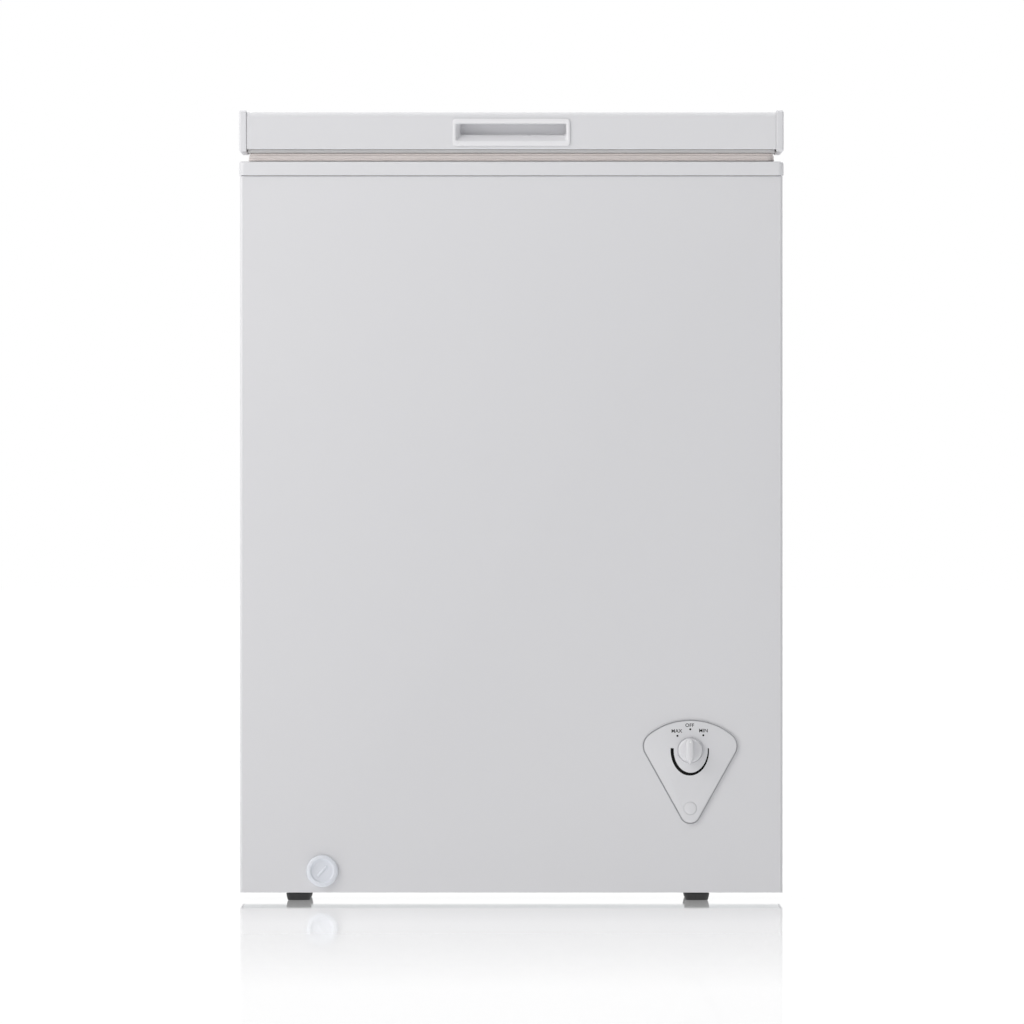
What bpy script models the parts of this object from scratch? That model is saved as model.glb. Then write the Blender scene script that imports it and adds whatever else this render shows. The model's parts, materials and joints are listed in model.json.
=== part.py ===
"""A small white chest freezer, in metres: +Z up, the front faces -Y, origin on the floor under the middle."""

import math

import bmesh
import bpy
from mathutils import Matrix

# Driving dimensions
HEIGHT = 0.850  # floor to the top of the lid's end caps
HALF_WIDTH = 0.293  # over the rim trim and the lid's end caps
BODY_HALF = 0.2918  # over the painted side sheets
FRONT_Y = -0.2608  # outer face of the front sheet
REAR_Y = 0.245  # outer face of the rear panel
BODY_LOW = 0.0084  # underside of the cabinet
RIM_LOW = 0.780
RIM_TOP = 0.795
SHEET = 0.0008  # painted steel
GAP = 0.0003  # between pieces that touch on the real object
FOOT_X = (-0.2286, 0.1995)
FOOT_Y = (-0.235, 0.215)

# The tub and the step over the machine bay
WELL_X = 0.234  # half the inside length
WELL_FRONT = -0.203
WELL_REAR = 0.187
WELL_FLOOR = 0.064
STEP_X = 0.045
STEP_TOP = 0.300
WELL_TOP = 0.7908
WELL_CORNER = 0.012
LINER = 0.001
BAY_X = 0.095  # the bay runs from here to the right side sheet
BAY_TOP = 0.250

# The lid
LID_FRONT = -0.262
LID_TOP = 0.8478
LID_LOW = 0.808
CAP_INNER = 0.285  # where the end caps meet the skin
HINGE_Y = 0.264
HINGE_Z = 0.7995
HINGE_X = (-0.190, 0.190)

# The controls and the drain
KNOB_X = 0.1925
KNOB_Z = 0.1615
DRAIN_X = -0.2035
DRAIN_Z = 0.0316
DRAIN_Y = -0.165

# Local axes of turned and flat pieces, as rotations
TO_FRONT = (math.radians(90), 0, 0)  # local Z points to -Y
TO_REAR = (math.radians(-90), 0, 0)  # local Z points to +Y
TO_RIGHT = (0, math.radians(90), 0)  # local Z points to +X
UPRIGHT = (0, 0, 0)
SIDE_ON = tuple(Matrix(((0, 0, 1), (1, 0, 0), (0, 1, 0))).to_euler())  # local X is Y, local Y is Z


def clear_scene():
    for thing in list(bpy.data.objects):
        bpy.data.objects.remove(thing, do_unlink=True)


def collection(name):
    made = bpy.data.collections.new(name)
    bpy.context.scene.collection.children.link(made)
    return made


clear_scene()
PARTS = collection("chest_freezer")
CUTTERS = collection("cutters")


def finish(name, color, roughness, metallic=0.0):
    made = bpy.data.materials.new(name)
    made.use_nodes = True
    shader = made.node_tree.nodes["Principled BSDF"]
    shader.inputs["Base Color"].default_value = (*color, 1.0)
    shader.inputs["Roughness"].default_value = roughness
    shader.inputs["Metallic"].default_value = metallic
    return made


WHITE_PAINT = finish("white_paint", (0.80, 0.80, 0.82), 0.35)
WHITE_PLASTIC = finish("white_plastic", (0.82, 0.82, 0.83), 0.4)
GASKET_VINYL = finish("gasket_vinyl", (0.62, 0.58, 0.56), 0.6)
FOAM = finish("foam", (0.80, 0.72, 0.50), 0.9)
LINER_SHEET = finish("liner_sheet", (0.83, 0.84, 0.85), 0.4, 0.3)
ZINC = finish("zinc", (0.60, 0.61, 0.63), 0.35, 0.9)
COPPER = finish("copper", (0.72, 0.40, 0.25), 0.35, 0.9)
BLACK_PAINT = finish("black_paint", (0.03, 0.03, 0.03), 0.45)
BLACK_RUBBER = finish("black_rubber", (0.03, 0.03, 0.03), 0.85)
BLACK_PLASTIC = finish("black_plastic", (0.04, 0.04, 0.04), 0.5)
DRAIN_PLASTIC = finish("drain_plastic", (0.78, 0.80, 0.86), 0.35)


def thing(name, mesh, material, location=(0, 0, 0), rotation=UPRIGHT):
    """A named object for a mesh or a curve: a part where it has a material, or else a cutter."""
    made = bpy.data.objects.new(name, mesh)
    made.location = location
    made.rotation_euler = rotation
    if material:
        mesh.materials.append(material)
        PARTS.objects.link(made)
    else:
        made.hide_render = True
        made.display_type = "WIRE"
        CUTTERS.objects.link(made)
    return made


def smooth(made):
    made.data.shade_smooth()
    made.data.set_sharp_from_angle(angle=math.radians(35))
    return made


def bevel(made, width, segments=2):
    rounded = made.modifiers.new("rounded_edges", "BEVEL")
    rounded.width = width
    rounded.segments = segments
    rounded.limit_method = "ANGLE"
    return made


def solidify(made, thickness, offset=-1.0):
    shell = made.modifiers.new("thickness", "SOLIDIFY")
    shell.thickness = thickness
    shell.offset = offset
    shell.use_even_offset = True
    return made


def cut(made, *cutters):
    for cutter in cutters:
        boolean = made.modifiers.new("cut", "BOOLEAN")
        boolean.operation = "DIFFERENCE"
        boolean.object = cutter
    return made


def join(made, *others):
    for other in others:
        boolean = made.modifiers.new("join", "BOOLEAN")
        boolean.operation = "UNION"
        boolean.object = other
    return made


def block(name, low, high, material=None, rounding=0.0, open_face=None):
    """A box between two corners. open_face is the direction of a face that is left off."""
    mesh = bpy.data.meshes.new(name)
    shape = bmesh.new()
    bmesh.ops.create_cube(shape, size=1.0)
    size = [b - a for a, b in zip(low, high)]
    bmesh.ops.scale(shape, vec=size, verts=shape.verts)
    if open_face:
        shape.normal_update()
        gone = [f for f in shape.faces if f.normal.dot(open_face) > 0.9]
        bmesh.ops.delete(shape, geom=gone, context="FACES")
    shape.to_mesh(mesh)
    shape.free()
    centre = [(a + b) / 2 for a, b in zip(low, high)]
    made = thing(name, mesh, material, centre)
    if rounding:
        bevel(made, rounding)
    return made


def blocks(name, centres, size):
    """One cutter made of equal boxes that stay apart."""
    mesh = bpy.data.meshes.new(name)
    shape = bmesh.new()
    for centre in centres:
        made = bmesh.ops.create_cube(shape, size=1.0)
        bmesh.ops.scale(shape, vec=size, verts=made["verts"])
        bmesh.ops.translate(shape, vec=centre, verts=made["verts"])
    shape.to_mesh(mesh)
    shape.free()
    return thing(name, mesh, None)


def rods(name, centres, radius, length, rotation, sides=16):
    """One cutter made of equal round rods that stay apart, each centred on its point."""
    mesh = bpy.data.meshes.new(name)
    shape = bmesh.new()
    for centre in centres:
        made = bmesh.ops.create_cone(
            shape, cap_ends=True, segments=sides, radius1=radius, radius2=radius, depth=length
        )
        turn = Matrix.Rotation(rotation[0], 4, "X") @ Matrix.Rotation(rotation[1], 4, "Y")
        bmesh.ops.transform(shape, matrix=turn, verts=made["verts"])
        bmesh.ops.translate(shape, vec=centre, verts=made["verts"])
    shape.to_mesh(mesh)
    shape.free()
    return thing(name, mesh, None)


def arc(centre, radius, start, end, steps):
    """Points on a circle from one angle to another, in degrees."""
    angles = [math.radians(start + (end - start) * i / steps) for i in range(steps + 1)]
    return [(centre[0] + radius * math.cos(a), centre[1] + radius * math.sin(a)) for a in angles]


def round_rectangle(low, high, radius, steps=3):
    corners = (
        (high[0] - radius, high[1] - radius, 0),
        (low[0] + radius, high[1] - radius, 90),
        (low[0] + radius, low[1] + radius, 180),
        (high[0] - radius, low[1] + radius, 270),
    )
    outline = []
    for x, y, start in corners:
        outline += arc((x, y), radius, start, start + 90, steps)
    return outline


def rounded_path(corners, radius, steps=3):
    """An open path through its corners, each inner one rounded."""
    path = [corners[0]]
    for before, corner, after in zip(corners, corners[1:], corners[2:]):
        into = math.atan2(corner[1] - before[1], corner[0] - before[0])
        out = math.atan2(after[1] - corner[1], after[0] - corner[0])
        turn = (out - into + math.pi) % (2 * math.pi) - math.pi
        setback = radius * math.tan(abs(turn) / 2)
        side = math.copysign(math.pi / 2, turn)
        start = (corner[0] - setback * math.cos(into), corner[1] - setback * math.sin(into))
        centre = (start[0] + radius * math.cos(into + side), start[1] + radius * math.sin(into + side))
        first = math.degrees(into - side)
        path += arc(centre, radius, first, first + math.degrees(turn), steps)
    return path + [corners[-1]]


def as_mesh(made):
    """A curve object made into a mesh object with closed caps, in the same place."""
    bpy.context.view_layer.update()
    graph = bpy.context.evaluated_depsgraph_get()
    mesh = bpy.data.meshes.new_from_object(made.evaluated_get(graph))
    shape = bmesh.new()
    shape.from_mesh(mesh)
    bmesh.ops.remove_doubles(shape, verts=shape.verts, dist=0.00001)
    bmesh.ops.recalc_face_normals(shape, faces=shape.faces)
    shape.to_mesh(mesh)
    shape.free()
    name, hidden = made.name, made.hide_render
    home = made.users_collection[0]
    matrix = made.matrix_world.copy()
    bpy.data.objects.remove(made, do_unlink=True)
    solid = bpy.data.objects.new(name, mesh)
    solid.matrix_world = matrix
    solid.hide_render = hidden
    if hidden:
        solid.display_type = "WIRE"
    home.objects.link(solid)
    return solid


def plate(name, outlines, thickness, material=None, location=(0, 0, 0), rotation=UPRIGHT):
    """A flat piece, centred on its middle plane. Outlines after the first are holes in it."""
    curve = bpy.data.curves.new(name, "CURVE")
    curve.dimensions = "2D"
    curve.fill_mode = "BOTH"
    curve.extrude = thickness / 2
    for outline in outlines:
        spline = curve.splines.new("POLY")
        spline.points.add(len(outline) - 1)
        spline.use_cyclic_u = True
        for point, (x, y) in zip(spline.points, outline):
            point.co = (x, y, 0, 1)
    return as_mesh(thing(name, curve, material, location, rotation))


def ring(name, low, high, inner_low, inner_high, radius, inner_radius, span, material=None):
    """A flat collar between two rounded rectangles in plan, from span[0] up to span[1]."""
    outlines = (round_rectangle(low, high, radius), round_rectangle(inner_low, inner_high, inner_radius))
    return plate(name, outlines, span[1] - span[0], material, (0, 0, (span[0] + span[1]) / 2))


def slab(name, low, high, radius, material=None):
    """A box between two corners with its upright edges rounded."""
    outline = round_rectangle(low[:2], high[:2], radius)
    return plate(name, [outline], high[2] - low[2], material, (0, 0, (low[2] + high[2]) / 2))


def folded_sheet(name, path, low, high, thickness, material, rotation=UPRIGHT):
    """A sheet folded along a path, with the path's right-hand side outside, running from low to high."""
    mesh = bpy.data.meshes.new(name)
    shape = bmesh.new()
    lower = [shape.verts.new((x, y, low)) for x, y in path]
    edges = [shape.edges.new(pair) for pair in zip(lower, lower[1:])]
    risen = bmesh.ops.extrude_edge_only(shape, edges=edges)
    moved = [v for v in risen["geom"] if isinstance(v, bmesh.types.BMVert)]
    bmesh.ops.translate(shape, vec=(0, 0, high - low), verts=moved)
    shape.normal_update()
    run = lower[1].co - lower[0].co
    if edges[0].link_faces[0].normal.dot((run.y, -run.x, 0)) < 0:
        bmesh.ops.reverse_faces(shape, faces=shape.faces)
    shape.to_mesh(mesh)
    shape.free()
    made = thing(name, mesh, material, rotation=rotation)
    return solidify(made, thickness)


def turned(name, profile, location, rotation=UPRIGHT, material=None, steps=24):
    """A turned piece. The profile runs down its outer side, as (radius, height)."""
    mesh = bpy.data.meshes.new(name)
    shape = bmesh.new()
    points = [shape.verts.new((radius, 0, height)) for radius, height in profile]
    for pair in zip(points, points[1:]):
        shape.edges.new(pair)
    if profile[0][0] > 0:
        shape.edges.new((points[-1], points[0]))
    shape.to_mesh(mesh)
    shape.free()
    made = thing(name, mesh, material, location, rotation)
    screw = made.modifiers.new("turned", "SCREW")
    screw.steps = steps
    screw.render_steps = steps
    screw.use_merge_vertices = True
    screw.merge_threshold = 0.00001
    return made


def tube(name, points, radius, material=None, resolution=2):
    """A bent rod along points."""
    curve = bpy.data.curves.new(name, "CURVE")
    curve.dimensions = "3D"
    curve.bevel_depth = radius
    curve.bevel_resolution = resolution
    curve.use_fill_caps = True
    spline = curve.splines.new("POLY")
    spline.points.add(len(points) - 1)
    for point, place in zip(spline.points, points):
        point.co = (*place, 1)
    return thing(name, curve, material)


def well_outline(grow, top):
    """The stepped tub seen from the front, as (x, z), grown by a margin."""
    return [
        (-WELL_X - grow, WELL_FLOOR - grow),
        (STEP_X + grow, WELL_FLOOR - grow),
        (STEP_X + grow, STEP_TOP - grow),
        (WELL_X + grow, STEP_TOP - grow),
        (WELL_X + grow, top),
        (-WELL_X - grow, top),
    ]


def well_mesh(name, grow, top, open_top):
    """The tub's volume with its corners rounded, or only its walls and floor with a flange round the top."""
    mesh = bpy.data.meshes.new(name)
    shape = bmesh.new()
    front = [shape.verts.new((x, WELL_FRONT - grow, z)) for x, z in well_outline(grow, top)]
    face = shape.faces.new(front)
    risen = bmesh.ops.extrude_face_region(shape, geom=[face])
    moved = [v for v in risen["geom"] if isinstance(v, bmesh.types.BMVert)]
    bmesh.ops.translate(shape, vec=(0, WELL_REAR - WELL_FRONT + 2 * grow, 0), verts=moved)
    bmesh.ops.recalc_face_normals(shape, faces=shape.faces)
    below_top = [e for e in shape.edges if min(v.co.z for v in e.verts) < top - 0.001]
    bmesh.ops.bevel(
        shape, geom=below_top, offset=WELL_CORNER + grow, segments=3, profile=0.5, affect="EDGES"
    )
    if open_top:
        shape.normal_update()
        lid = [f for f in shape.faces if f.normal.z > 0.9 and f.calc_center_median().z > top - 0.001]
        bmesh.ops.delete(shape, geom=lid, context="FACES")
        mouth = [e for e in shape.edges if e.is_boundary]
        spread = bmesh.ops.extrude_edge_only(shape, edges=mouth)
        for vert in spread["geom"]:
            if isinstance(vert, bmesh.types.BMVert):
                middle = (WELL_FRONT + WELL_REAR) / 2
                vert.co.x *= 1 + FLANGE / WELL_X
                vert.co.y = middle + (vert.co.y - middle) * (1 + FLANGE / (WELL_REAR - middle))
    shape.to_mesh(mesh)
    shape.free()
    return mesh


# ---------------------------------------------------------------- cabinet

CORNER_RADIUS = 0.005  # the wrapper's upright corners
FOLD = 0.015  # the side sheets' return behind the rear panel
FLANGE = 0.026  # the liner's flange on top of the foam
PAN_HIGH = 0.0204
SKIRT_IN = 0.2893  # inner face of the rim trim's outer skirt
SIDE_VENT = ((0.085, 0.225), (0.060, 0.200))  # y span, z span of the opening
COVER_X = (0.100, 0.280)
COVER_Z = (0.022, 0.242)
BAY_OPENING = ((0.112, 0.268), (0.036, 0.228))  # x span, z span in the rear panel
GLAND = (0.128, 0.052)  # x, z


def control_opening():
    return rods("control_opening", [(KNOB_X, FRONT_Y, KNOB_Z)], 0.026, 0.02, TO_FRONT, 24)


def side_vent_opening():
    (y0, y1), (z0, z1) = SIDE_VENT
    return block("side_vent_opening", (0.280, y0, z0), (0.300, y1, z1))


def make_cabinet_wrapper():
    fold_y = REAR_Y - SHEET - GAP
    corners = [
        (-BODY_HALF + FOLD, fold_y),
        (-BODY_HALF, fold_y),
        (-BODY_HALF, FRONT_Y),
        (BODY_HALF, FRONT_Y),
        (BODY_HALF, fold_y),
        (BODY_HALF - FOLD, fold_y),
    ]
    path = rounded_path(corners, CORNER_RADIUS)
    wrapper = folded_sheet("cabinet_wrapper", path, BODY_LOW, RIM_LOW - GAP, SHEET, WHITE_PAINT)
    drain_hole = rods("drain_hole", [(DRAIN_X, FRONT_Y, DRAIN_Z)], 0.010, 0.02, TO_FRONT, 20)
    screw_hole = rods("front_screw_hole", [(KNOB_X, FRONT_Y, SCREW_Z)], 0.0024, 0.02, TO_FRONT, 12)
    cut(wrapper, control_opening(), drain_hole, screw_hole, side_vent_opening())


def cover_screw_points():
    inset = 0.009
    xs = (COVER_X[0] + inset, COVER_X[1] - inset)
    zs = (COVER_Z[0] + inset, COVER_Z[1] - inset)
    return [(x, REAR_Y, z) for x in xs for z in zs]


def make_rear_panel():
    low = (-BODY_HALF + 0.0012, REAR_Y - SHEET, BODY_LOW)
    high = (BODY_HALF - 0.0012, REAR_Y, RIM_LOW - GAP)
    panel = block("rear_panel", low, high, WHITE_PAINT)
    (x0, x1), (z0, z1) = BAY_OPENING
    opening = block("bay_opening", (x0, 0.240, z0), (x1, 0.250, z1))
    holes = rods("cover_screw_holes", cover_screw_points(), 0.0024, 0.02, TO_FRONT, 10)
    cut(panel, opening, holes)


def make_rear_access_cover():
    low = (COVER_X[0], REAR_Y + GAP, COVER_Z[0])
    high = (COVER_X[1], REAR_Y + GAP + 0.0012, COVER_Z[1])
    cover = block("rear_access_cover", low, high, ZINC)
    columns = (COVER_X[0] + 0.055, COVER_X[1] - 0.055)
    rows = [COVER_Z[0] + 0.070 + 0.018 * i for i in range(8)]
    slots = blocks("cover_slots", [(x, REAR_Y, z) for x in columns for z in rows], (0.058, 0.02, 0.007))
    holes = rods("cover_holes", cover_screw_points(), 0.0024, 0.02, TO_FRONT, 10)
    gland_hole = rods("gland_hole", [(GLAND[0], REAR_Y, GLAND[1])], 0.0083, 0.02, TO_FRONT, 16)
    cut(cover, slots, holes, gland_hole)


def make_cover_screws():
    profile = [(0, 0.0022), (0.0028, 0.0019), (0.0042, 0.0006),
               (0.0042, 0), (0.0019, 0), (0.0019, -0.004), (0, -0.004)]
    for number, (x, y, z) in enumerate(cover_screw_points(), 1):
        seat = REAR_Y + GAP + 0.0012 + GAP
        smooth(turned(f"cover_screw_{number}", profile, (x, seat, z), TO_REAR, ZINC, 10))


def make_cord_gland():
    profile = [
        (0.0060, 0.0090),
        (0.0080, 0.0080),
        (0.0110, 0.0018),
        (0.0110, 0),
        (0.0078, 0),
        (0.0078, -0.0050),
        (0.0042, -0.0050),
        (0.0042, 0.0090),
    ]
    seat = REAR_Y + GAP + 0.0012 + GAP
    smooth(turned("cord_gland", profile, (GLAND[0], seat, GLAND[1]), TO_REAR, BLACK_PLASTIC, 16))


def make_base_pan():
    side = BODY_HALF - SHEET - GAP
    low = (-side, FRONT_Y + SHEET + GAP, BODY_LOW)
    high = (side, REAR_Y - 2 * SHEET - 2 * GAP - GAP, PAN_HIGH)
    pan = slab("base_pan", low, high, CORNER_RADIUS - SHEET, ZINC)
    shape = bmesh.new()
    shape.from_mesh(pan.data)
    shape.normal_update()
    top = [f for f in shape.faces if f.normal.z > 0.9]
    bmesh.ops.delete(shape, geom=top, context="FACES")
    shape.to_mesh(pan.data)
    shape.free()
    solidify(pan, 0.001)


def make_feet():
    profile = [(0, 0.0081), (0.0135, 0.0081), (0.0135, 0.0066), (0.0120, 0.0008), (0.0112, 0), (0, 0)]
    names = (("front_left", 0, 0), ("front_right", 1, 0), ("rear_left", 0, 1), ("rear_right", 1, 1))
    for name, side, end in names:
        place = (FOOT_X[side], FOOT_Y[end], 0)
        smooth(turned(f"foot_{name}", profile, place, UPRIGHT, BLACK_RUBBER, 20))


def make_rim_trim():
    x, y0, y1 = HALF_WIDTH, LID_FRONT, REAR_Y + 0.0012
    lip_x, lip0, lip1 = WELL_X - GAP, WELL_FRONT + GAP, WELL_REAR - GAP
    thick = HALF_WIDTH - SKIRT_IN
    wall = 0.0022
    skirt = ring(
        "rim_skirt", (-x, y0), (x, y1), (-x + thick, y0 + thick), (x - thick, y1 - thick),
        0.006, 0.0025, (RIM_LOW, RIM_TOP - 0.001),
    )
    lip = ring(
        "rim_lip", (-lip_x, lip0), (lip_x, lip1), (-lip_x + wall, lip0 + wall), (lip_x - wall, lip1 - wall),
        WELL_CORNER, WELL_CORNER - wall, (RIM_TOP - 0.012, RIM_TOP - 0.001),
    )
    web = ring(
        "rim_trim", (-x, y0), (x, y1), (-lip_x + wall, lip0 + wall), (lip_x - wall, lip1 - wall),
        0.006, WELL_CORNER - wall, (WELL_TOP + GAP, RIM_TOP), WHITE_PLASTIC,
    )
    join(web, skirt, lip)


def make_inner_liner():
    mesh = well_mesh("inner_liner", 0, WELL_TOP, True)
    liner = thing("inner_liner", mesh, LINER_SHEET)
    solidify(liner, LINER, 1.0)
    hole = rods("liner_drain_hole", [(DRAIN_X, DRAIN_Y, WELL_FLOOR)], 0.0082, 0.02, UPRIGHT, 16)
    cut(liner, hole)


def drain_path(top, front):
    """Down from the tub's floor, then forwards to the front sheet, as world points."""
    bend = 0.018
    quarter = arc((DRAIN_Y - bend, DRAIN_Z + bend), bend, 0, -90, 5)
    middle = [(DRAIN_X, y, z) for y, z in quarter]
    return [(DRAIN_X, DRAIN_Y, top)] + middle + [(DRAIN_X, front, DRAIN_Z)]


def make_insulation_foam():
    side = BODY_HALF - SHEET - GAP - 0.0002
    front = FRONT_Y + SHEET + GAP + 0.0002
    rear = REAR_Y - 2 * SHEET - 2 * GAP - 0.0002
    inset = 0.0016
    corner = CORNER_RADIUS - SHEET
    low, high = (-side, front, PAN_HIGH + GAP), (side, rear, RIM_LOW - 2 * GAP)
    foam = slab("insulation_foam", low, high, corner, FOAM)
    foot_low = (-side + inset, front + inset, BODY_LOW + 0.0013)
    foot_high = (side - inset, rear - inset, 0.05)
    foot = slab("foam_foot", foot_low, foot_high, corner - inset)
    shoulder = 0.0045
    low, high = (-side + shoulder, front + shoulder, 0.75), (side - shoulder, rear - shoulder, WELL_TOP - LINER - GAP)
    head = block("foam_head", low, high)
    well = thing("foam_well", well_mesh("foam_well", LINER + GAP, 0.81, False), None)
    bay = block("foam_bay", (BAY_X, -0.3, -0.01), (0.31, 0.3, BAY_TOP))
    reach = 0.009
    low, high = (-WELL_X - reach, WELL_FRONT - reach, 0.322), (WELL_X + reach, WELL_REAR + reach, 0.745)
    band = block("evaporator_band", low, high)
    recess = block("condenser_recess", (-0.265, 0.2355, 0.285), (0.265, 0.26, 0.760))
    channel = as_mesh(tube("drain_channel", drain_path(0.08, -0.28), 0.0096))
    join(foam, foot, head)
    cut(foam, well, bay, band, recess, channel)


# ---------------------------------------------------------------- cooling circuit

EVAPORATOR_RADIUS = 0.003
EVAPORATOR_TURNS = 5
CONDENSER_RADIUS = 0.0024
COMPRESSOR_X = 0.192
COMPRESSOR_Y = 0.112
COMPRESSOR_RADIUS = 0.065
GROMMET_AT = (0.060, 0.044)
MOUNT_LOW = BODY_LOW + 0.001 + GAP
MOUNT_THICK = 0.002
GROMMET_LOW = MOUNT_LOW + MOUNT_THICK + GAP
GROMMET_HIGH = 0.0281
FOOT_PLATE_LOW = GROMMET_HIGH + GAP


def make_evaporator_coil():
    away = LINER + GAP + 0.0003 + EVAPORATOR_RADIUS
    low = (-WELL_X - away, WELL_FRONT - away)
    high = (WELL_X + away, WELL_REAR + away)
    lap = round_rectangle(low, high, WELL_CORNER + away)
    count = len(lap) * EVAPORATOR_TURNS
    top, bottom = 0.735, 0.335
    points = []
    for i in range(count):
        x, y = lap[i % len(lap)]
        points.append((x, y, top + (bottom - top) * i / (count - 1)))
    tube("evaporator_coil", points, EVAPORATOR_RADIUS, COPPER, 1)


def make_condenser_coil():
    y = 0.2394
    bend = 0.022
    half = 0.225
    passes = 8
    base = 0.305
    points = [(-half - bend, y, base)]
    for row in range(passes):
        z = base + 2 * bend * row
        direction = 1 if row % 2 == 0 else -1
        points.append((direction * half, y, z))
        if row < passes - 1:
            turn = arc((0, z + bend), bend, -90, 90, 6)[1:-1]
            points += [(direction * (half + across), y, up) for across, up in turn]
            points.append((direction * half, y, z + 2 * bend))
    unique = [p for i, p in enumerate(points) if i == 0 or p != points[i - 1]]
    tube("condenser_coil", unique, CONDENSER_RADIUS, COPPER, 1)


def make_compressor():
    radius = COMPRESSOR_RADIUS
    profile = [
        (0, 0.196),
        (0.032, 0.192),
        (0.052, 0.181),
        (0.062, 0.164),
        (radius, 0.140),
        (radius, 0.116),
        (radius + 0.004, 0.115),
        (radius + 0.004, 0.111),
        (radius - 0.001, 0.110),
        (radius - 0.002, 0.062),
        (0.054, 0.042),
        (0.034, 0.0300),
        (0, 0.0300),
    ]
    pot = turned("compressor", profile, (COMPRESSOR_X, COMPRESSOR_Y, 0), UPRIGHT, BLACK_PAINT, 28)
    half_x, half_y = 0.076, 0.058
    outline = round_rectangle((-half_x, -half_y), (half_x, half_y), 0.014)
    place = (COMPRESSOR_X, COMPRESSOR_Y, FOOT_PLATE_LOW + 0.0015)
    foot = plate("compressor_foot", [outline], 0.003, None, place)
    join(pot, foot)


def make_compressor_mount():
    low = (BAY_X + 0.006, COMPRESSOR_Y - 0.066, MOUNT_LOW)
    high = (0.286, COMPRESSOR_Y + 0.066, MOUNT_LOW + MOUNT_THICK)
    block("compressor_mount_plate", low, high, ZINC)
    tall = GROMMET_HIGH - GROMMET_LOW
    profile = [(0, tall), (0.0085, tall), (0.0100, tall - 0.002),
               (0.0075, tall / 2), (0.0105, 0.003), (0.0105, 0), (0, 0)]
    number = 0
    for side in (-1, 1):
        for end in (-1, 1):
            number += 1
            place = (COMPRESSOR_X + side * GROMMET_AT[0], COMPRESSOR_Y + end * GROMMET_AT[1], GROMMET_LOW)
            smooth(turned(f"compressor_grommet_{number}", profile, place, UPRIGHT, BLACK_RUBBER, 14))


def make_terminal_cover():
    y = COMPRESSOR_Y + COMPRESSOR_RADIUS + 0.0005
    low, high = (COMPRESSOR_X - 0.027, y, 0.060), (COMPRESSOR_X + 0.027, y + 0.032, 0.106)
    block("terminal_cover", low, high, BLACK_PLASTIC, 0.003)


def make_pipes():
    top = BAY_TOP - 0.0006
    side = COMPRESSOR_X - COMPRESSOR_RADIUS - 0.0004
    bend_x = side - 0.016
    discharge = [(side, COMPRESSOR_Y, 0.086), (bend_x + 0.006, COMPRESSOR_Y, 0.086)]
    discharge += [(bend_x, COMPRESSOR_Y, 0.092), (bend_x, COMPRESSOR_Y, top)]
    tube("discharge_pipe", discharge, 0.0025, COPPER)
    front = COMPRESSOR_Y - COMPRESSOR_RADIUS - 0.0004
    bend_y = front - 0.030
    suction = [(COMPRESSOR_X, front, 0.094), (COMPRESSOR_X, bend_y + 0.010, 0.094)]
    suction += [(COMPRESSOR_X, bend_y, 0.104), (COMPRESSOR_X, bend_y, top)]
    tube("suction_pipe", suction, 0.0040, COPPER)
    profile = [(0, 0.110), (0.0025, 0.110), (0.0030, 0.097), (0.0095, 0.085),
               (0.0095, 0.025), (0.0030, 0.013), (0.0025, 0), (0, 0)]
    smooth(turned("filter_drier", profile, (BAY_X + 0.020, 0.020, top - 0.110), UPRIGHT, COPPER, 16))


def make_vent_grille():
    (y0, y1), (z0, z1) = SIDE_VENT
    margin = 0.007
    low = (BODY_HALF + GAP, y0 - margin, z0 - margin)
    high = (HALF_WIDTH, y1 + margin, z1 + margin)
    grille = block("vent_grille", low, high, WHITE_PLASTIC)
    count = 9
    pitch = (z1 - z0) / count
    centres = [(0.2925, (y0 + y1) / 2, z0 + pitch * (i + 0.5)) for i in range(count)]
    cut(grille, blocks("vent_slots", centres, (0.02, y1 - y0 - 0.012, pitch * 0.5)))


# ---------------------------------------------------------------- controls and drain

PANEL_BACK = FRONT_Y - GAP
PANEL_THICK = 0.0018
PANEL_TOP = 0.195
CORNER = (0.0346, 0.166, 0.017)  # half spacing, height and radius of the upper corners
POINT = (0.0936, 0.012)  # height and radius of the lower corner
SCREW_Z = 0.099
SEAT_DEPTH = 0.0009


def escutcheon_outline(grow=0.0):
    """A triangle point down with round corners and a bowed top edge, about the knob's axis in x."""
    half, corner_z, corner_r = CORNER
    point_z, point_r = POINT
    rise = PANEL_TOP - corner_r - corner_z
    bow_z = corner_z - (half * half - rise * rise) / (2 * rise)
    bow_r = PANEL_TOP - bow_z
    lean = math.degrees(math.atan2(corner_z - bow_z, half))
    slope = math.degrees(math.atan2(corner_z - point_z, half))
    spread = math.degrees(math.asin((corner_r - point_r) / math.hypot(half, corner_z - point_z)))
    side = slope - 90 + spread
    outline = arc((0, bow_z), bow_r + grow, lean, 180 - lean, 10)
    outline += arc((-half, corner_z), corner_r + grow, 180 - lean, 180 - side, 7)[1:]
    outline += arc((0, point_z), point_r + grow, 180 - side, 360 + side, 8)
    outline += arc((half, corner_z), corner_r + grow, side, lean, 7)[:-1]
    return outline


def make_control_escutcheon():
    middle = PANEL_BACK - PANEL_THICK / 2
    outlines = [escutcheon_outline()]
    panel = plate("control_escutcheon", outlines, PANEL_THICK, WHITE_PLASTIC, (KNOB_X, middle, 0), TO_FRONT)
    shaft_hole = rods("panel_shaft_hole", [(KNOB_X, PANEL_BACK, KNOB_Z)], 0.0045, 0.02, TO_FRONT, 16)
    screw_hole = rods("panel_screw_hole", [(KNOB_X, PANEL_BACK, SCREW_Z)], 0.0024, 0.02, TO_FRONT, 12)
    centres = [(KNOB_X, PANEL_BACK - PANEL_THICK, SCREW_Z)]
    seat = rods("panel_seat", centres, 0.0072, 2 * SEAT_DEPTH, TO_FRONT, 24)
    cut(panel, shaft_hole, screw_hole, seat)


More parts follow.
